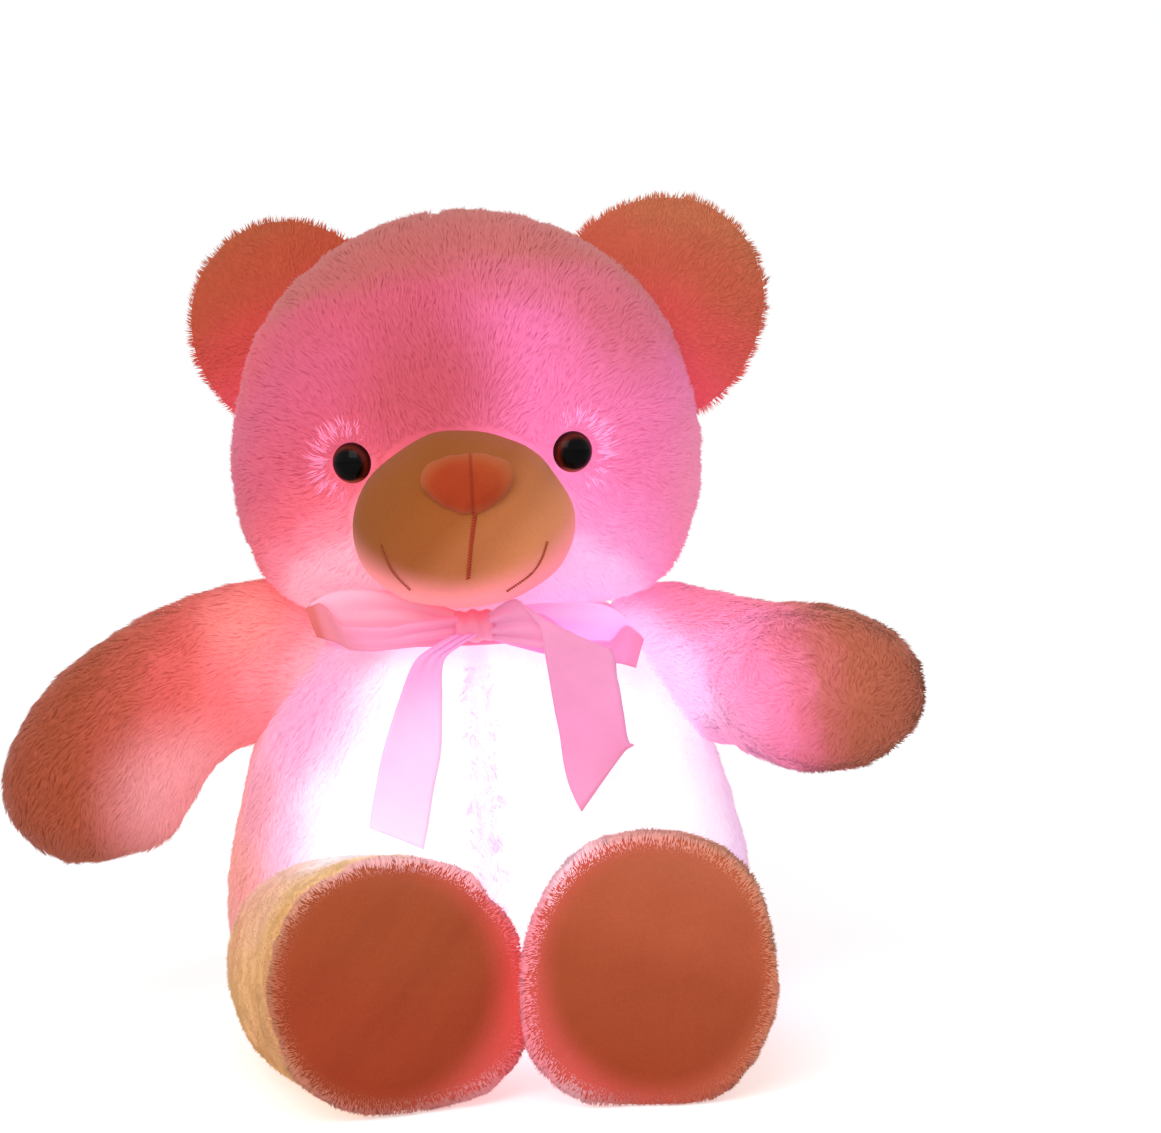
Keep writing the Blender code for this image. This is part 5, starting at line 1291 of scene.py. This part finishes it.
def make_eye(side, finish):
    """A glossy dome with its skirt sunk in the pile."""
    at, away = head_spot(EYES[side], EYE_UP)
    turn = np.array(away.to_track_quat("Y", "Z").to_matrix())
    outline = [(0.90, -0.0045), (0.97, -0.0015), (1.0, 0.0)]
    outline += [(math.cos(a), EYE_HEIGHT * math.sin(a)) for a in np.linspace(0, math.pi / 2, 14)[1:-1]]
    angle = np.arange(48) * 2 * math.pi / 48
    rings = []
    for share, height in outline:
        radius = EYE_RADIUS * share
        local = np.stack([radius * np.cos(angle), np.full(48, height), radius * np.sin(angle)], axis=1)
        rings.append(local @ turn.T + np.array(at))
    obj = lofted(f"eye_dome_{side}", rings, finish)
    local = (coordinates(obj) - np.array(at)) @ turn / EYE_RADIUS
    add_map(obj.data, "round", local[:, (0, 2)])
    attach(obj, "head")
    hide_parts(f"eye_{side}")


def muzzle_rings():
    """The rings of the muzzle's closed form."""
    sizes = (MUZZLE_SIZES[1], MUZZLE_SIZES[0], MUZZLE_SIZES[2])
    rings = []
    for ring in ball_rings(sizes, rows=28, sides=64):
        x = ring[:, 1] * (1 - MUZZLE_TAPER * ring[:, 2] / MUZZLE_SIZES[2])
        rings.append(np.stack([x, -ring[:, 0], ring[:, 2]], axis=1) + np.array(MUZZLE_AT))
    return rings


def make_nose(finish):
    """A softly padded nose with an upright crease down its middle."""
    seat = muzzle_spot(-MUZZLE_AT[0], NOSE_UP)
    turn = np.array((-(seat - Vector(MUZZLE_AT)).normalized()).to_track_quat("Y", "Z").to_matrix())
    half_width, depth, half_height = NOSE_SIZES
    rings = []
    for ring in ball_rings((depth, half_width, half_height), rows=24, sides=72):
        x, y, z = ring[:, 1], -ring[:, 0], ring[:, 2]
        x = x * (1 + NOSE_TAPER * z / half_height)
        crease = CREASE_DEPTH * np.exp(-(((x - CREASE_AT) / CREASE_WIDTH) ** 2))
        crease *= 1 - 0.8 * np.clip(z / half_height, 0, 1)
        y = np.where(y < 0, y + crease, y)
        rings.append(np.stack([x, y, z], axis=1) @ turn.T + np.array(seat))
    obj = lofted("nose_velour", rings, finish)
    set_coordinates(obj, roughened(obj, (0.0003, 0.007, 41)))
    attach(obj, "head")
    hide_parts("nose")


def stitched(name, shares, width, finish, node_name):
    """A line of short slanted satin stitches over the muzzle."""
    points = through(shares, 24)
    places = [muzzle_spot(out * MUZZLE_SIZES[0], up * MUZZLE_SIZES[2], 0.0003) for out, up in points]
    run, picked, last = 0.0, [places[0]], places[0]
    for place in places[1:]:
        run += (place - last).length
        last = place
        if run >= STITCH_STEP:
            picked.append(place)
            run = 0.0
    verts, faces = [], []
    for i, place in enumerate(picked):
        ahead = (picked[min(i + 1, len(picked) - 1)] - picked[max(i - 1, 0)]).normalized()
        away = (place - Vector(MUZZLE_AT)).normalized()
        across = ahead.cross(away).normalized()
        lie = (across + ahead * 0.45).normalized()
        side = lie.cross(away).normalized()
        base = len(verts)
        for share, wide in ((-1, 0.30), (-0.8, 0.75), (-0.35, 1.0), (0.35, 1.0), (0.8, 0.75), (1, 0.30)):
            for corner in range(6):
                angle = corner * math.pi / 3
                sink = 0.00030 * (1 - share * share)
                offset = lie * share * width + side * math.cos(angle) * STITCH_RADIUS * wide
                verts.append(place + offset + away * (math.sin(angle) * STITCH_RADIUS * wide + sink))
        for row in range(5):
            for corner in range(6):
                a, b = base + row * 6 + corner, base + row * 6 + (corner + 1) % 6
                faces.append((a, b, b + 6, a + 6))
        faces.append(tuple(base + k for k in reversed(range(6))))
        faces.append(tuple(base + 30 + k for k in range(6)))
    obj = new_piece(name, verts, faces, finish)
    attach(obj, "head")
    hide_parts(node_name)


# Soles


def make_sole(side, finish):
    """A velour pad over the end of a foot: a rolled edge and a crowned, softly puckered face."""
    turn, hip, sizes = leg_frame(side)
    stations = [
        (-0.0060, 0.90), (-0.0040, 0.945), (-0.0020, 0.975), (-0.0002, 0.985), (0.0010, 0.975),
        (0.0020, 0.955),
    ]
    for share in np.linspace(0.93, 0.04, 22):
        stations.append((0.0020 + SOLE_CROWN * (1 - (share / 0.955) ** 2), share))
    rings = []
    for ahead, share in stations:
        y, z = oval(sizes[0] * share, sizes[1] * share, sizes[1] * share, LEG_SQUARENESS, 96)
        y = y * slimmed(side, y, z)
        rings.append(np.stack([np.full(96, LEG_LENGTH + ahead), y, z], axis=1) @ turn.T + hip)
    obj = lofted(f"sole_pad_{side}", rings, finish)
    seed = 51 if side == "left" else 61
    points = roughened(obj, (0.0008, 0.024, seed), (0.00025, 0.006, seed + 1))
    set_coordinates(obj, above(points, FLOOR_CLEARANCE))
    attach(obj, f"leg_{side}")
    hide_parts(f"sole_{side}")
    return obj


def sole_flow(side):
    """Outwards from the middle of a sole."""
    turn, hip, sizes = leg_frame(side)
    end = hip + turn[:, 0] * LEG_LENGTH

    def share(points):
        local = (points - end) @ turn
        local[:, 1] /= slimmed(side, local[:, 1], local[:, 2])
        squared = (np.abs(local[:, 1:] / np.array(sizes)) ** LEG_SQUARENESS).sum(axis=1)
        return squared ** (1 / LEG_SQUARENESS), local[:, 0]

    def flow(points, outward):
        return (points - end) * np.array((1, 0, 1)) + turn[:, 0] * 0.006

    def bare(points, outward):
        reach, ahead = share(points)
        edge = np.clip((reach - 0.86) / 0.11, 0, 1)
        return np.where(ahead > -0.0035, 0.06 + 0.44 * edge, 0.0) * (reach > 0.86)

    return flow, bare


# Ribbon

RIBBON_WIDTH = 0.024
RIBBON_THICKNESS = 0.0005
KNOT_AT = np.array((0.0, -0.060, 0.1465))
TAIL_FRONT = 0.06825
LOOP_REACH = 0.056
LOOP_START = 0.00375
LOOP_OPENING = (0.0030, 0.0105)
LOOP_HEIGHT = (0.008, 0.0165)
LOOP_SWEEP = 0.010
LOOP_FOLD = 0.46
LOOP_END = 0.42
LOOPS = {"left": (1, -0.009, 0.0050), "right": (-1, 0.005, 0.0026)}
TAILS = {
    "left": (
        (0.09, 0.0, 0.95, 0.35, -80), (0.30, -0.013, 1.01, 0.55, -60), (0.58, 0.052, 1.07, 1.05, -26),
        (0.63, 0.277, 1.09, 1.03, -16), (0.66, 0.523, 1.09, 0.98, -6), (0.69, 0.735, 1.08, 0.97, 1),
        (0.74, 0.937, 1.07, 1.17, 52),
    ),
    "right": (
        (-0.06, 0.039, 0.95, 0.35, 0), (-0.17, 0.092, 1.00, 0.38, 0), (-0.29, 0.183, 1.03, 0.42, 0),
        (-0.354, 0.413, 1.05, 0.62, 0), (-0.421, 0.717, 1.07, 0.83, 0), (-0.486, 0.981, 1.08, 0.84, 0),
        (-0.54, 1.243, 1.07, 0.82, -25),
    ),
}


def tail_line(side, steps):
    """The middle of a tail, its half width and its lean, from the knot to its end."""
    rows = []
    for out, down, forward, width, lean in through(TAILS[side], steps):
        centre = np.array((out * LOOP_REACH, -TAIL_FRONT * forward, KNOT_AT[2] - down * LOOP_REACH))
        rows.append((centre, RIBBON_WIDTH / 2 * width, math.radians(lean)))
    if side == "left":
        ends = len(rows) * 0.36
        rows = [
            (centre, half * (1 + 0.45 * math.sin(math.pi * min(1.0, i / ends))), lean)
            for i, (centre, half, lean) in enumerate(rows)
        ]
    return rows


def ribbon_piece(name, grid, finish, closed=False, values=None):
    """A ribbon through a grid of points, given its thickness, with a UV map in metres for its threads."""
    grid = np.array(grid, float)
    rows, columns = grid.shape[:2]
    faces = []
    for row in range(rows - (0 if closed else 1)):
        after = (row + 1) % rows
        for column in range(columns - 1):
            a, b = row * columns + column, after * columns + column
            faces.append((a, a + 1, b + 1, b))
    mesh = mesh_of(name, grid.reshape(-1, 3), faces)
    along = np.concatenate([[0], np.cumsum(np.linalg.norm(np.diff(grid[:, columns // 2], axis=0), axis=1))])
    across = np.linspace(0, RIBBON_WIDTH, columns)
    add_map(mesh, "weave", np.stack([np.tile(across, rows), np.repeat(along, columns)], axis=1))
    if values:
        add_values(mesh, values[0], np.repeat(values[1], columns))
    obj = linked(name, mesh)
    mesh.materials.append(finish)
    applied(obj, "SOLIDIFY", thickness=RIBBON_THICKNESS, offset=0)
    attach(obj, "torso")
    return obj, along[-1]


def make_tail(side, finish):
    """A tail that hangs over the belly: pleated at the knot, flat and softly waved below."""
    columns, grid = 15, []
    lines = tail_line(side, 9)
    for row, (centre, half, lean) in enumerate(lines):
        share = row / (len(lines) - 1)
        across = np.linspace(-1, 1, columns)
        line = centre[None] + across[:, None] * half * np.array((math.cos(lean), 0, math.sin(lean)))
        pleat = 0.0014 * np.cos(across * math.pi * 2.5 + 0.6) * max(0.0, 1 - share * 2.4)
        wave = 0.0009 * np.sin(share * 9 + across * 1.3) * share
        curl = 0.0010 * across**2 * share
        line[:, 1] += pleat - wave - curl
        grid.append(line)
    obj, length = ribbon_piece(f"bow_tail_{side}", grid, finish)
    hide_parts(f"ribbon_tail_{side}")


def make_loop(side, finish):
    """A loop of the bow: a flattened ring of ribbon, folded low in front so that its inside shows."""
    sign, rise, droop = LOOPS[side]
    rows, columns, grid, turns = 60, 13, [], []
    across = np.linspace(-1, 1, columns)
    for row in range(rows + 1):
        turn = math.pi * (row / rows - 0.5)
        share = math.cos(turn)
        front = turn < 0
        swell = math.sqrt(max(0.0, math.sin(math.pi * share)))
        opening = LOOP_OPENING[0] + (LOOP_OPENING[1] - LOOP_OPENING[0]) * swell
        out = LOOP_START + (LOOP_REACH - LOOP_START) * share
        deep = KNOT_AT[1] + LOOP_SWEEP * share**2 + math.sin(turn) * opening / 2
        deep -= 0.0 if front else 0.0022 * math.sin(turn)
        full = LOOP_HEIGHT[0] + (LOOP_HEIGHT[1] - LOOP_HEIGHT[0]) * min(1.0, share * 1.6) ** 0.8
        end = max(0.0, (share - 0.72) / 0.28) ** 2
        fold = min(1.0, max(0.0, (0.93 - share) / 0.16)) if front else 0.0
        fold = fold * fold * (3 - 2 * fold)
        if sign > 0:
            fold *= min(1.0, max(0.0, (share - 0.36) / 0.18))
        height = full * (1 - LOOP_FOLD * fold * min(1.0, share * 2.2)) * (1 - LOOP_END * end)
        spread_share = math.sin(math.pi * min(1.0, share) * 0.75)
        if front:
            lift = -fold * (full - height) * 0.5 - fold * 0.0018 * spread_share
        else:
            lift = 0.0038 * spread_share * math.sin(turn)
        middle = KNOT_AT[2] + rise * share + lift - droop * end
        pleat = 0.0012 * np.cos(across * math.pi * 2.2 + sign) * (1 - share) ** 1.2
        wave = 0.0006 * np.sin(across * 2.4 + share * 6 + sign) * share
        lean = -across * 0.0022 * fold
        z = middle + across * height / 2 + 0.0007 * np.sin(share * 8 + sign) * share
        x = sign * out + sign * across * 0.0016 * share
        grid.append(np.stack([x, deep + pleat + wave + lean, z], axis=1))
        turns.append(turn / (math.pi / 2))
    obj, length = ribbon_piece(f"bow_ribbon_{side}", grid, finish, values=("turn", turns))
    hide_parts(f"bow_loop_{side}")


def make_knot(finish):
    """The gathered wrap round the middle of the bow."""
    rows, columns, grid = 40, 17, []
    across = np.linspace(-1, 1, columns)
    for row in range(rows):
        turn = 2 * math.pi * row / rows
        belly = 1 + 0.10 * (1 - across**2)
        ridge = 1 + 0.075 * np.cos(across * math.pi * 2.6 + 0.5 * math.sin(turn))
        ridge += 0.02 * np.sin(across * 9 + turn * 2)
        radius = belly * ridge
        grid.append(np.stack([
            across * 0.0066, KNOT_AT[1] - 0.0052 * radius * math.cos(turn),
            KNOT_AT[2] + 0.0047 * radius * math.sin(turn),
        ], axis=1))
    obj, _ = ribbon_piece("bow_wrap", grid, finish, closed=True)
    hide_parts("bow_knot")


def make_neck_band(finish):
    """The ribbon round the neck, gathered into soft folds that run round it."""
    rings = np.array(body_rings(steps=12, sides=120))
    heights = rings[:, 0, 2]
    columns, grid = 21, []
    for i in range(120):
        line = []
        for column in range(columns):
            share = column / (columns - 1)
            height = BODY_HEIGHT * (0.938 + 0.047 * share)
            x = np.interp(height, heights, rings[:, i, 0])
            y = np.interp(height, heights, rings[:, i, 1])
            size = math.hypot(x, y)
            stand = 0.0012 + 0.0012 * math.cos(share * math.pi * 5 + 0.4 * math.sin(i * 0.21))
            line.append((x * (1 + stand / size), y * (1 + stand / size), height))
        grid.append(line)
    obj, length = ribbon_piece("neck_ribbon", grid, finish, closed=True)
    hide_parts("ribbon_neck_band")


# Back opening

# The flap's half width, lower and upper edge, its near and far side, and the corners of the pocket's room
FLAP_EDGES = (0.03025, 0.02505, 0.09895)
FLAP_SIDES = (0.0603, 0.0633)
POCKET_ROOM = ((-0.02495, 0.0363, 0.03635), (0.02495, 0.0600, 0.09365))


def rounded_rectangle(half_width, low, high, corner):
    """Points round an upright rectangle with round corners, from its upper corner at +X over the top."""
    count = 8
    spots = []
    middles = (
        (half_width - corner, high - corner, 0), (-half_width + corner, high - corner, 90),
        (-half_width + corner, low + corner, 180), (half_width - corner, low + corner, 270),
    )
    for x, z, first in middles:
        for step in range(count + 1):
            angle = math.radians(first + 90 * step / count)
            spots.append((x + corner * math.cos(angle), z + corner * math.sin(angle)))
    return spots


def rectangle_rings(stations, corner):
    """Rings of a rounded rectangle at each station: a depth, half width, lower and upper edge."""
    rings = []
    for y, half_width, low, high in stations:
        spots = rounded_rectangle(half_width, low, high, corner)
        rings.append(np.array([(x, y, z) for x, z in spots]))
    return rings


def make_flap(finish):
    """The padded flap over the back opening."""
    half, low, high = FLAP_EDGES
    near, far = FLAP_SIDES
    insets = [(near, 0.004), (near, 0.0010), (near + 0.0010, 0), (near + 0.0020, 0), (far, 0.0012)]
    insets += [(far + 0.0006, 0.005), (far + 0.0012, 0.012), (far + 0.0014, 0.024)]
    stations = [(y, half - inset, low + inset, high - inset) for y, inset in insets]
    obj = lofted("flap_plush", rectangle_rings(stations, 0.0060), finish)
    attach(obj, "flap")
    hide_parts("back_flap")
    return obj


def make_lining(finish):
    """The sewn lining bag of the back opening, with its rim turned out."""
    low, high = np.array(POCKET_ROOM)
    inset = 0.0003
    half, bottom, top = high[0] - inset, low[2] + inset, high[2] - inset
    stations = [(high[1] - 0.0002, half + 0.0002, bottom - 0.0002, top + 0.0002)]
    for y in np.linspace(high[1] - 0.001, low[1] + 0.0012, 18):
        stations.append((y, half, bottom, top))
    stations.append((low[1] + 0.0004, half - 0.0008, bottom + 0.0008, top - 0.0008))
    for share in (0.9, 0.7, 0.5, 0.3, 0.12):
        middle, reach = (top + bottom) / 2, (top - bottom) / 2
        stations.append((low[1] + 0.0002, half * share, middle - reach * share, middle + reach * share))
    rings = rectangle_rings(stations, 0.0022)
    sides = len(rings[0])
    points = np.concatenate(rings + [rings[-1].mean(axis=0, keepdims=True)])
    faces = []
    for row in range(len(rings) - 1):
        for i in range(sides):
            j = (i + 1) % sides
            faces.append((row * sides + i, (row + 1) * sides + i, (row + 1) * sides + j, row * sides + j))
    last = (len(rings) - 1) * sides
    for i in range(sides):
        faces.append((last + i, last + sides, last + (i + 1) % sides))
    mesh = mesh_of("pocket_lining", points, faces)
    obj = linked("pocket_lining", mesh)
    mesh.materials.append(finish)
    applied(obj, "SOLIDIFY", thickness=0.0004, offset=0)
    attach(obj, "torso")
    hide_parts("battery_pocket")


def open_back(skin):
    """Cuts the recess of the back opening into the body's skin."""
    low, high = np.array(POCKET_ROOM)
    stations = []
    for y in (low[1] - 0.0006, 0.075):
        stations.append((y, high[0] + 0.0002, low[2] - 0.0002, high[2] + 0.0002))
    cutter = lofted("cutter", rectangle_rings(stations, 0.0024))
    applied(skin, "BOOLEAN", operation="DIFFERENCE", solver="EXACT", object=cutter)
    bpy.data.objects.remove(cutter)


# The hidden parts' finishes by material slot


def hidden_finishes():
    made = {
        "stuffing": plain("polyester_fibre", (238, 232, 228), 0.95, 0.1, 260.0, 0.0015, 0.05),
        "washer_plastic": plain("washer_plastic", (226, 226, 222), 0.45),
        "lining_cloth": plain("lining_cloth", (214, 170, 178), 0.9, 0.15, 1400.0, 0.0002, 0.08),
        "hook_strip": plain("hook_and_loop", (224, 150, 158), 0.95, 0.1, 2600.0, 0.0006, 0.22),
        "pack_plastic": plain("moulded_plastic", (228, 226, 220), 0.42, 0.45, 900.0, 0.00005, 0.02),
        "button_plastic": plain("button_plastic", (204, 66, 74), 0.38, 0.45, 900.0, 0.00004, 0.03),
        "cell_jacket": plain("cell_jacket", (70, 74, 84), 0.3, 0.5, 500.0, 0.00003, 0.05, Metallic=0.2),
        "steel": plain("plated_steel", (196, 194, 188), 0.3, 0.5, 700.0, 0.00003, 0.04, Metallic=1.0),
        "board": plain("circuit_board", (38, 96, 62), 0.5, 0.4, 800.0, 0.00005, 0.08),
        "diffuser": plain("milky_diffuser", (250, 236, 240), 0.5, 0.4, 400.0, 0.00005, 0.02),
        "lamp": plain("lamp_lens", (255, 214, 222), 0.2, 0.5, 500.0, 0.00002, 0.02),
        "lead_red": plain("lead_red", (178, 34, 32), 0.5, 0.4, 900.0, 0.00004, 0.05),
        "lead_black": plain("lead_black", (30, 30, 32), 0.5, 0.4, 900.0, 0.00004, 0.08),
        "eye_plastic": plain("switch_black", (26, 24, 26), 0.4, 0.4, 700.0, 0.00004, 0.08),
    }
    for key, strength in (("diffuser", 0.6), ("lamp", 1.5)):
        shader = made[key].node_tree.nodes["Principled BSDF"]
        shader.inputs["Emission Color"].default_value = colour(255, 170, 205)
        shader.inputs["Emission Strength"].default_value = strength
    return made


# Setting, light and camera


def make_setting():
    """A pale floor that keeps the shadow, an even white surround, and one large soft lamp."""
    bpy.ops.mesh.primitive_plane_add(size=8, location=(0, 0, -0.0002))
    floor = bpy.context.active_object
    floor.name = "floor"
    ground = bpy.data.materials.new("floor_paper")
    ground.use_nodes = True
    tree = ground.node_tree
    tree.nodes.clear()
    paper = node(tree, "ShaderNodeBsdfDiffuse", {"Color": (0.80, 0.80, 0.80, 1)}).outputs[0]
    rays = node(tree, "ShaderNodeLightPath").outputs["Is Camera Ray"]
    strength = maths(tree, "MULTIPLY", rays, 0.50)
    lift = node(tree, "ShaderNodeEmission", {"Color": (1, 1, 1, 1), "Strength": strength}).outputs[0]
    both = node(tree, "ShaderNodeAddShader", {0: paper, 1: lift}).outputs[0]
    node(tree, "ShaderNodeOutputMaterial", {"Surface": both})
    floor.data.materials.append(ground)

    world = bpy.data.worlds.new("studio")
    bpy.context.scene.world = world
    world.use_nodes = True
    tree = world.node_tree
    shown = node(tree, "ShaderNodeLightPath").outputs
    seen = maths(tree, "MAXIMUM", shown["Is Camera Ray"], shown["Is Glossy Ray"])
    seen = maths(tree, "MAXIMUM", seen, shown["Is Transmission Ray"])
    strength = spread(tree, seen, 0.0, 1.0, AMBIENT, 1.0)
    background = tree.nodes["Background"]
    background.inputs["Color"].default_value = (1, 1, 1, 1)
    tree.links.new(strength, background.inputs["Strength"])

    for name, at, size, power in LAMPS:
        lamp = bpy.data.lights.new(name, "AREA")
        lamp.shape = "SQUARE"
        lamp.size = size
        lamp.energy = power
        obj = linked(name, lamp)
        obj.location = at
        obj.rotation_euler = (Vector((0, 0, 0.12)) - Vector(at)).to_track_quat("-Z", "Y").to_euler()

    camera = bpy.data.cameras.new("camera")
    camera.lens, camera.sensor_width = CAMERA_LENS, CAMERA_SENSOR
    camera.shift_x, camera.shift_y = CAMERA_SHIFT
    obj = linked("camera", camera)
    turn = (Vector(CAMERA_AIM) - Vector(CAMERA_AT)).to_track_quat("-Z", "Y").to_matrix().to_4x4()
    obj.matrix_world = Matrix.Translation(CAMERA_AT) @ turn @ Matrix.Rotation(CAMERA_ROLL, 4, "Z")
    bpy.context.scene.camera = obj
    bpy.context.scene.view_settings.view_transform = "Standard"


# The whole bear


def settle(piece, name):
    """Gives a skin or its pile to the torso or the head; a limb's piece only has its place baked into its
    mesh.
    """
    if name.startswith(("arm", "leg")):
        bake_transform(piece)
    else:
        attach(piece, "torso" if name == "body" else "head")


def make_muzzle(finish):
    muzzle = lofted("muzzle_velour", muzzle_rings(), finish)
    set_coordinates(muzzle, roughened(muzzle, (0.0006, 0.020, 31)))
    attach(muzzle, "head")
    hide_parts("muzzle_cover")


def flows_and_bares(skins):
    """How each skin's pile lies, and where it is bare or short."""
    flows = {"head": head_flow, "body": body_flow}
    for name, rings in limb_lines().items():
        flows[name] = along_limb(rings, 7)
    for side, (sign, out, _, _) in EARS.items():
        centre = (sign * out, EAR_BACK - 0.03, BODY_HEIGHT + EAR_UP - 0.010)
        flows[f"ear_{side}"] = away_from(centre, (0, 0.5, 0.1))
    limbs = [skins[name] for name in ("arm_left", "arm_right", "leg_left", "leg_right")]
    bares = {
        "body": body_bare(outside(skins["head"], *limbs)),
        "head": head_bare(outside(skins["ear_left"], skins["ear_right"], skins["body"], skins["arm_right"])),
        "ear_left": ear_bare(outside(skins["head"])),
        "ear_right": ear_bare(outside(skins["head"])),
    }
    for name in ("arm_left", "arm_right"):
        bares[name] = outside(skins["body"])
    for side in ("left", "right"):
        bares[f"leg_{side}"] = leg_bare(outside(skins["body"], clear=0.002), side)
    return flows, bares


def dress_skins(skins, finish, density):
    """Gives each skin its look and its pile; the torso's, head's and ears' skins and piles go to the body
    that they ride on.
    """
    flows, bares = flows_and_bares(skins)
    nodes = {name: f"{name}_cover" for name in skins}
    nodes.update(ear_left="ear_left", ear_right="ear_right")
    for seed, (name, skin) in enumerate(skins.items()):
        look = finish[name]
        skin.data.materials.clear()
        skin.data.materials.append(look)
        shape = bmesh.new()
        shape.from_mesh(skin.data)
        area = sum(face.calc_area() for face in shape.faces)
        shape.free()
        ear = name.startswith("ear")
        count = int(area * 1e6 * density * (EAR_DENSITY if ear else 1.0))
        length, flat = (EAR_PILE, EAR_FLAT) if ear else (LEG_RIGHT_PILE if name == "leg_right" else 1.0, 0.0)
        large = name in ("body", "head")
        width = 1.0
        for suffix, part in QUARTERS.items() if large else (("", None),):
            pile = make_pile(
                f"{name}_pile{suffix}", skin, count, flows[name], look, 100 + 20 * seed, bares[name], length,
                width / math.sqrt(part[2]) if part else width, part, flat,
            )
            settle(pile, name)
        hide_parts(nodes[name])
        settle(skin, name)

    flow, bare = seam_tufts()
    count = int(TUFT_COUNT * density)
    tufts = make_pile("seam_tufts", skins["body"], count, flow, finish["tuft"], 700, bare, play=3.0)
    settle(tufts, "body")


def make_eyes_and_soles(skins, finish, density):
    for side in ("left", "right"):
        make_eye(side, finish["eye"])
        flow, bare = eye_rays(side)
        count = int(RAY_COUNT * density)
        rays = make_pile(f"eye_rays_{side}", skins["head"], count, flow, finish["ray"], 500, bare, play=2.2)
        settle(rays, "head")
        sole = make_sole(side, finish[f"sole_{side}"])
        flow, bare = sole_flow(side)
        count = int(RIM_COUNT * density)
        rim = make_pile(
            f"sole_rim_{side}", sole, count, flow, finish[f"rim_{side}"], 400 + len(side), bare, width=1.15,
            play=0.5,
        )
        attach(rim, f"leg_{side}")


def make_fillings(stuffing):
    """The fillings of the pieces whose skins differ from the solids'."""
    rings = [(ring - MUZZLE_AT) * MUZZLE_FILLING + MUZZLE_AT for ring in muzzle_rings()]
    filling = lofted("muzzle_filling", rings, stuffing)
    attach(filling, "head")
    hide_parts("muzzle_stuffing")
    for side in ARMS:
        rings = []
        for ring in arm_rings(side)[1:-5]:
            middle = ring.mean(axis=0)
            rings.append(middle + (ring - middle) * ARM_FILLING)
        filling = lofted(f"arm_{side}_filling", rings, stuffing)
        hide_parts(f"arm_{side}_stuffing")
        settle(filling, f"arm_{side}")


def make_bear():
    finish, hidden = make_materials(), hidden_finishes()
    density = PILE_DENSITY * 1.0
    skins = make_skins()
    make_muzzle(finish["muzzle"])
    open_back(skins["body"])
    seam_groove(skins["body"])
    eye_sockets(skins["head"])
    dress_skins(skins, finish, density)
    make_eyes_and_soles(skins, finish, density)
    make_nose(finish["nose"])
    stitched("mouth_stitches", MOUTH_LINE, 0.00085, finish["thread"], "mouth_line")
    for side, shares in SMILES.items():
        stitched(f"smile_stitches_{side}", shares, 0.00045, finish["smile"], f"smile_{side}")

    make_knot(finish["satin_knot"])
    make_neck_band(finish["satin_band"])
    make_loop("left", finish["satin_loop_left"])
    make_loop("right", finish["satin_loop_right"])
    make_tail("left", finish["satin_left"])
    make_tail("right", finish["satin_right"])

    make_fillings(hidden["stuffing"])
    flap = make_flap(finish["body"])
    half, low, high = FLAP_EDGES
    count = int(half * 2 * (high - low) * FLAP_DENSITY * density)
    flap_pile = make_pile(
        "flap_pile", flap, count, streaming((0, 0, -1)), finish["body"], 300,
        lambda points, outward: (outward[:, 1] > -0.2).astype(float), FLAP_PILE,
    )
    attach(flap_pile, "flap")
    make_lining(hidden["lining_cloth"])
    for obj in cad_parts.values():
        for place in obj.material_slots:
            if place.material and place.material.name in hidden:
                place.material = hidden[place.material.name]


make_setting()
make_bear()
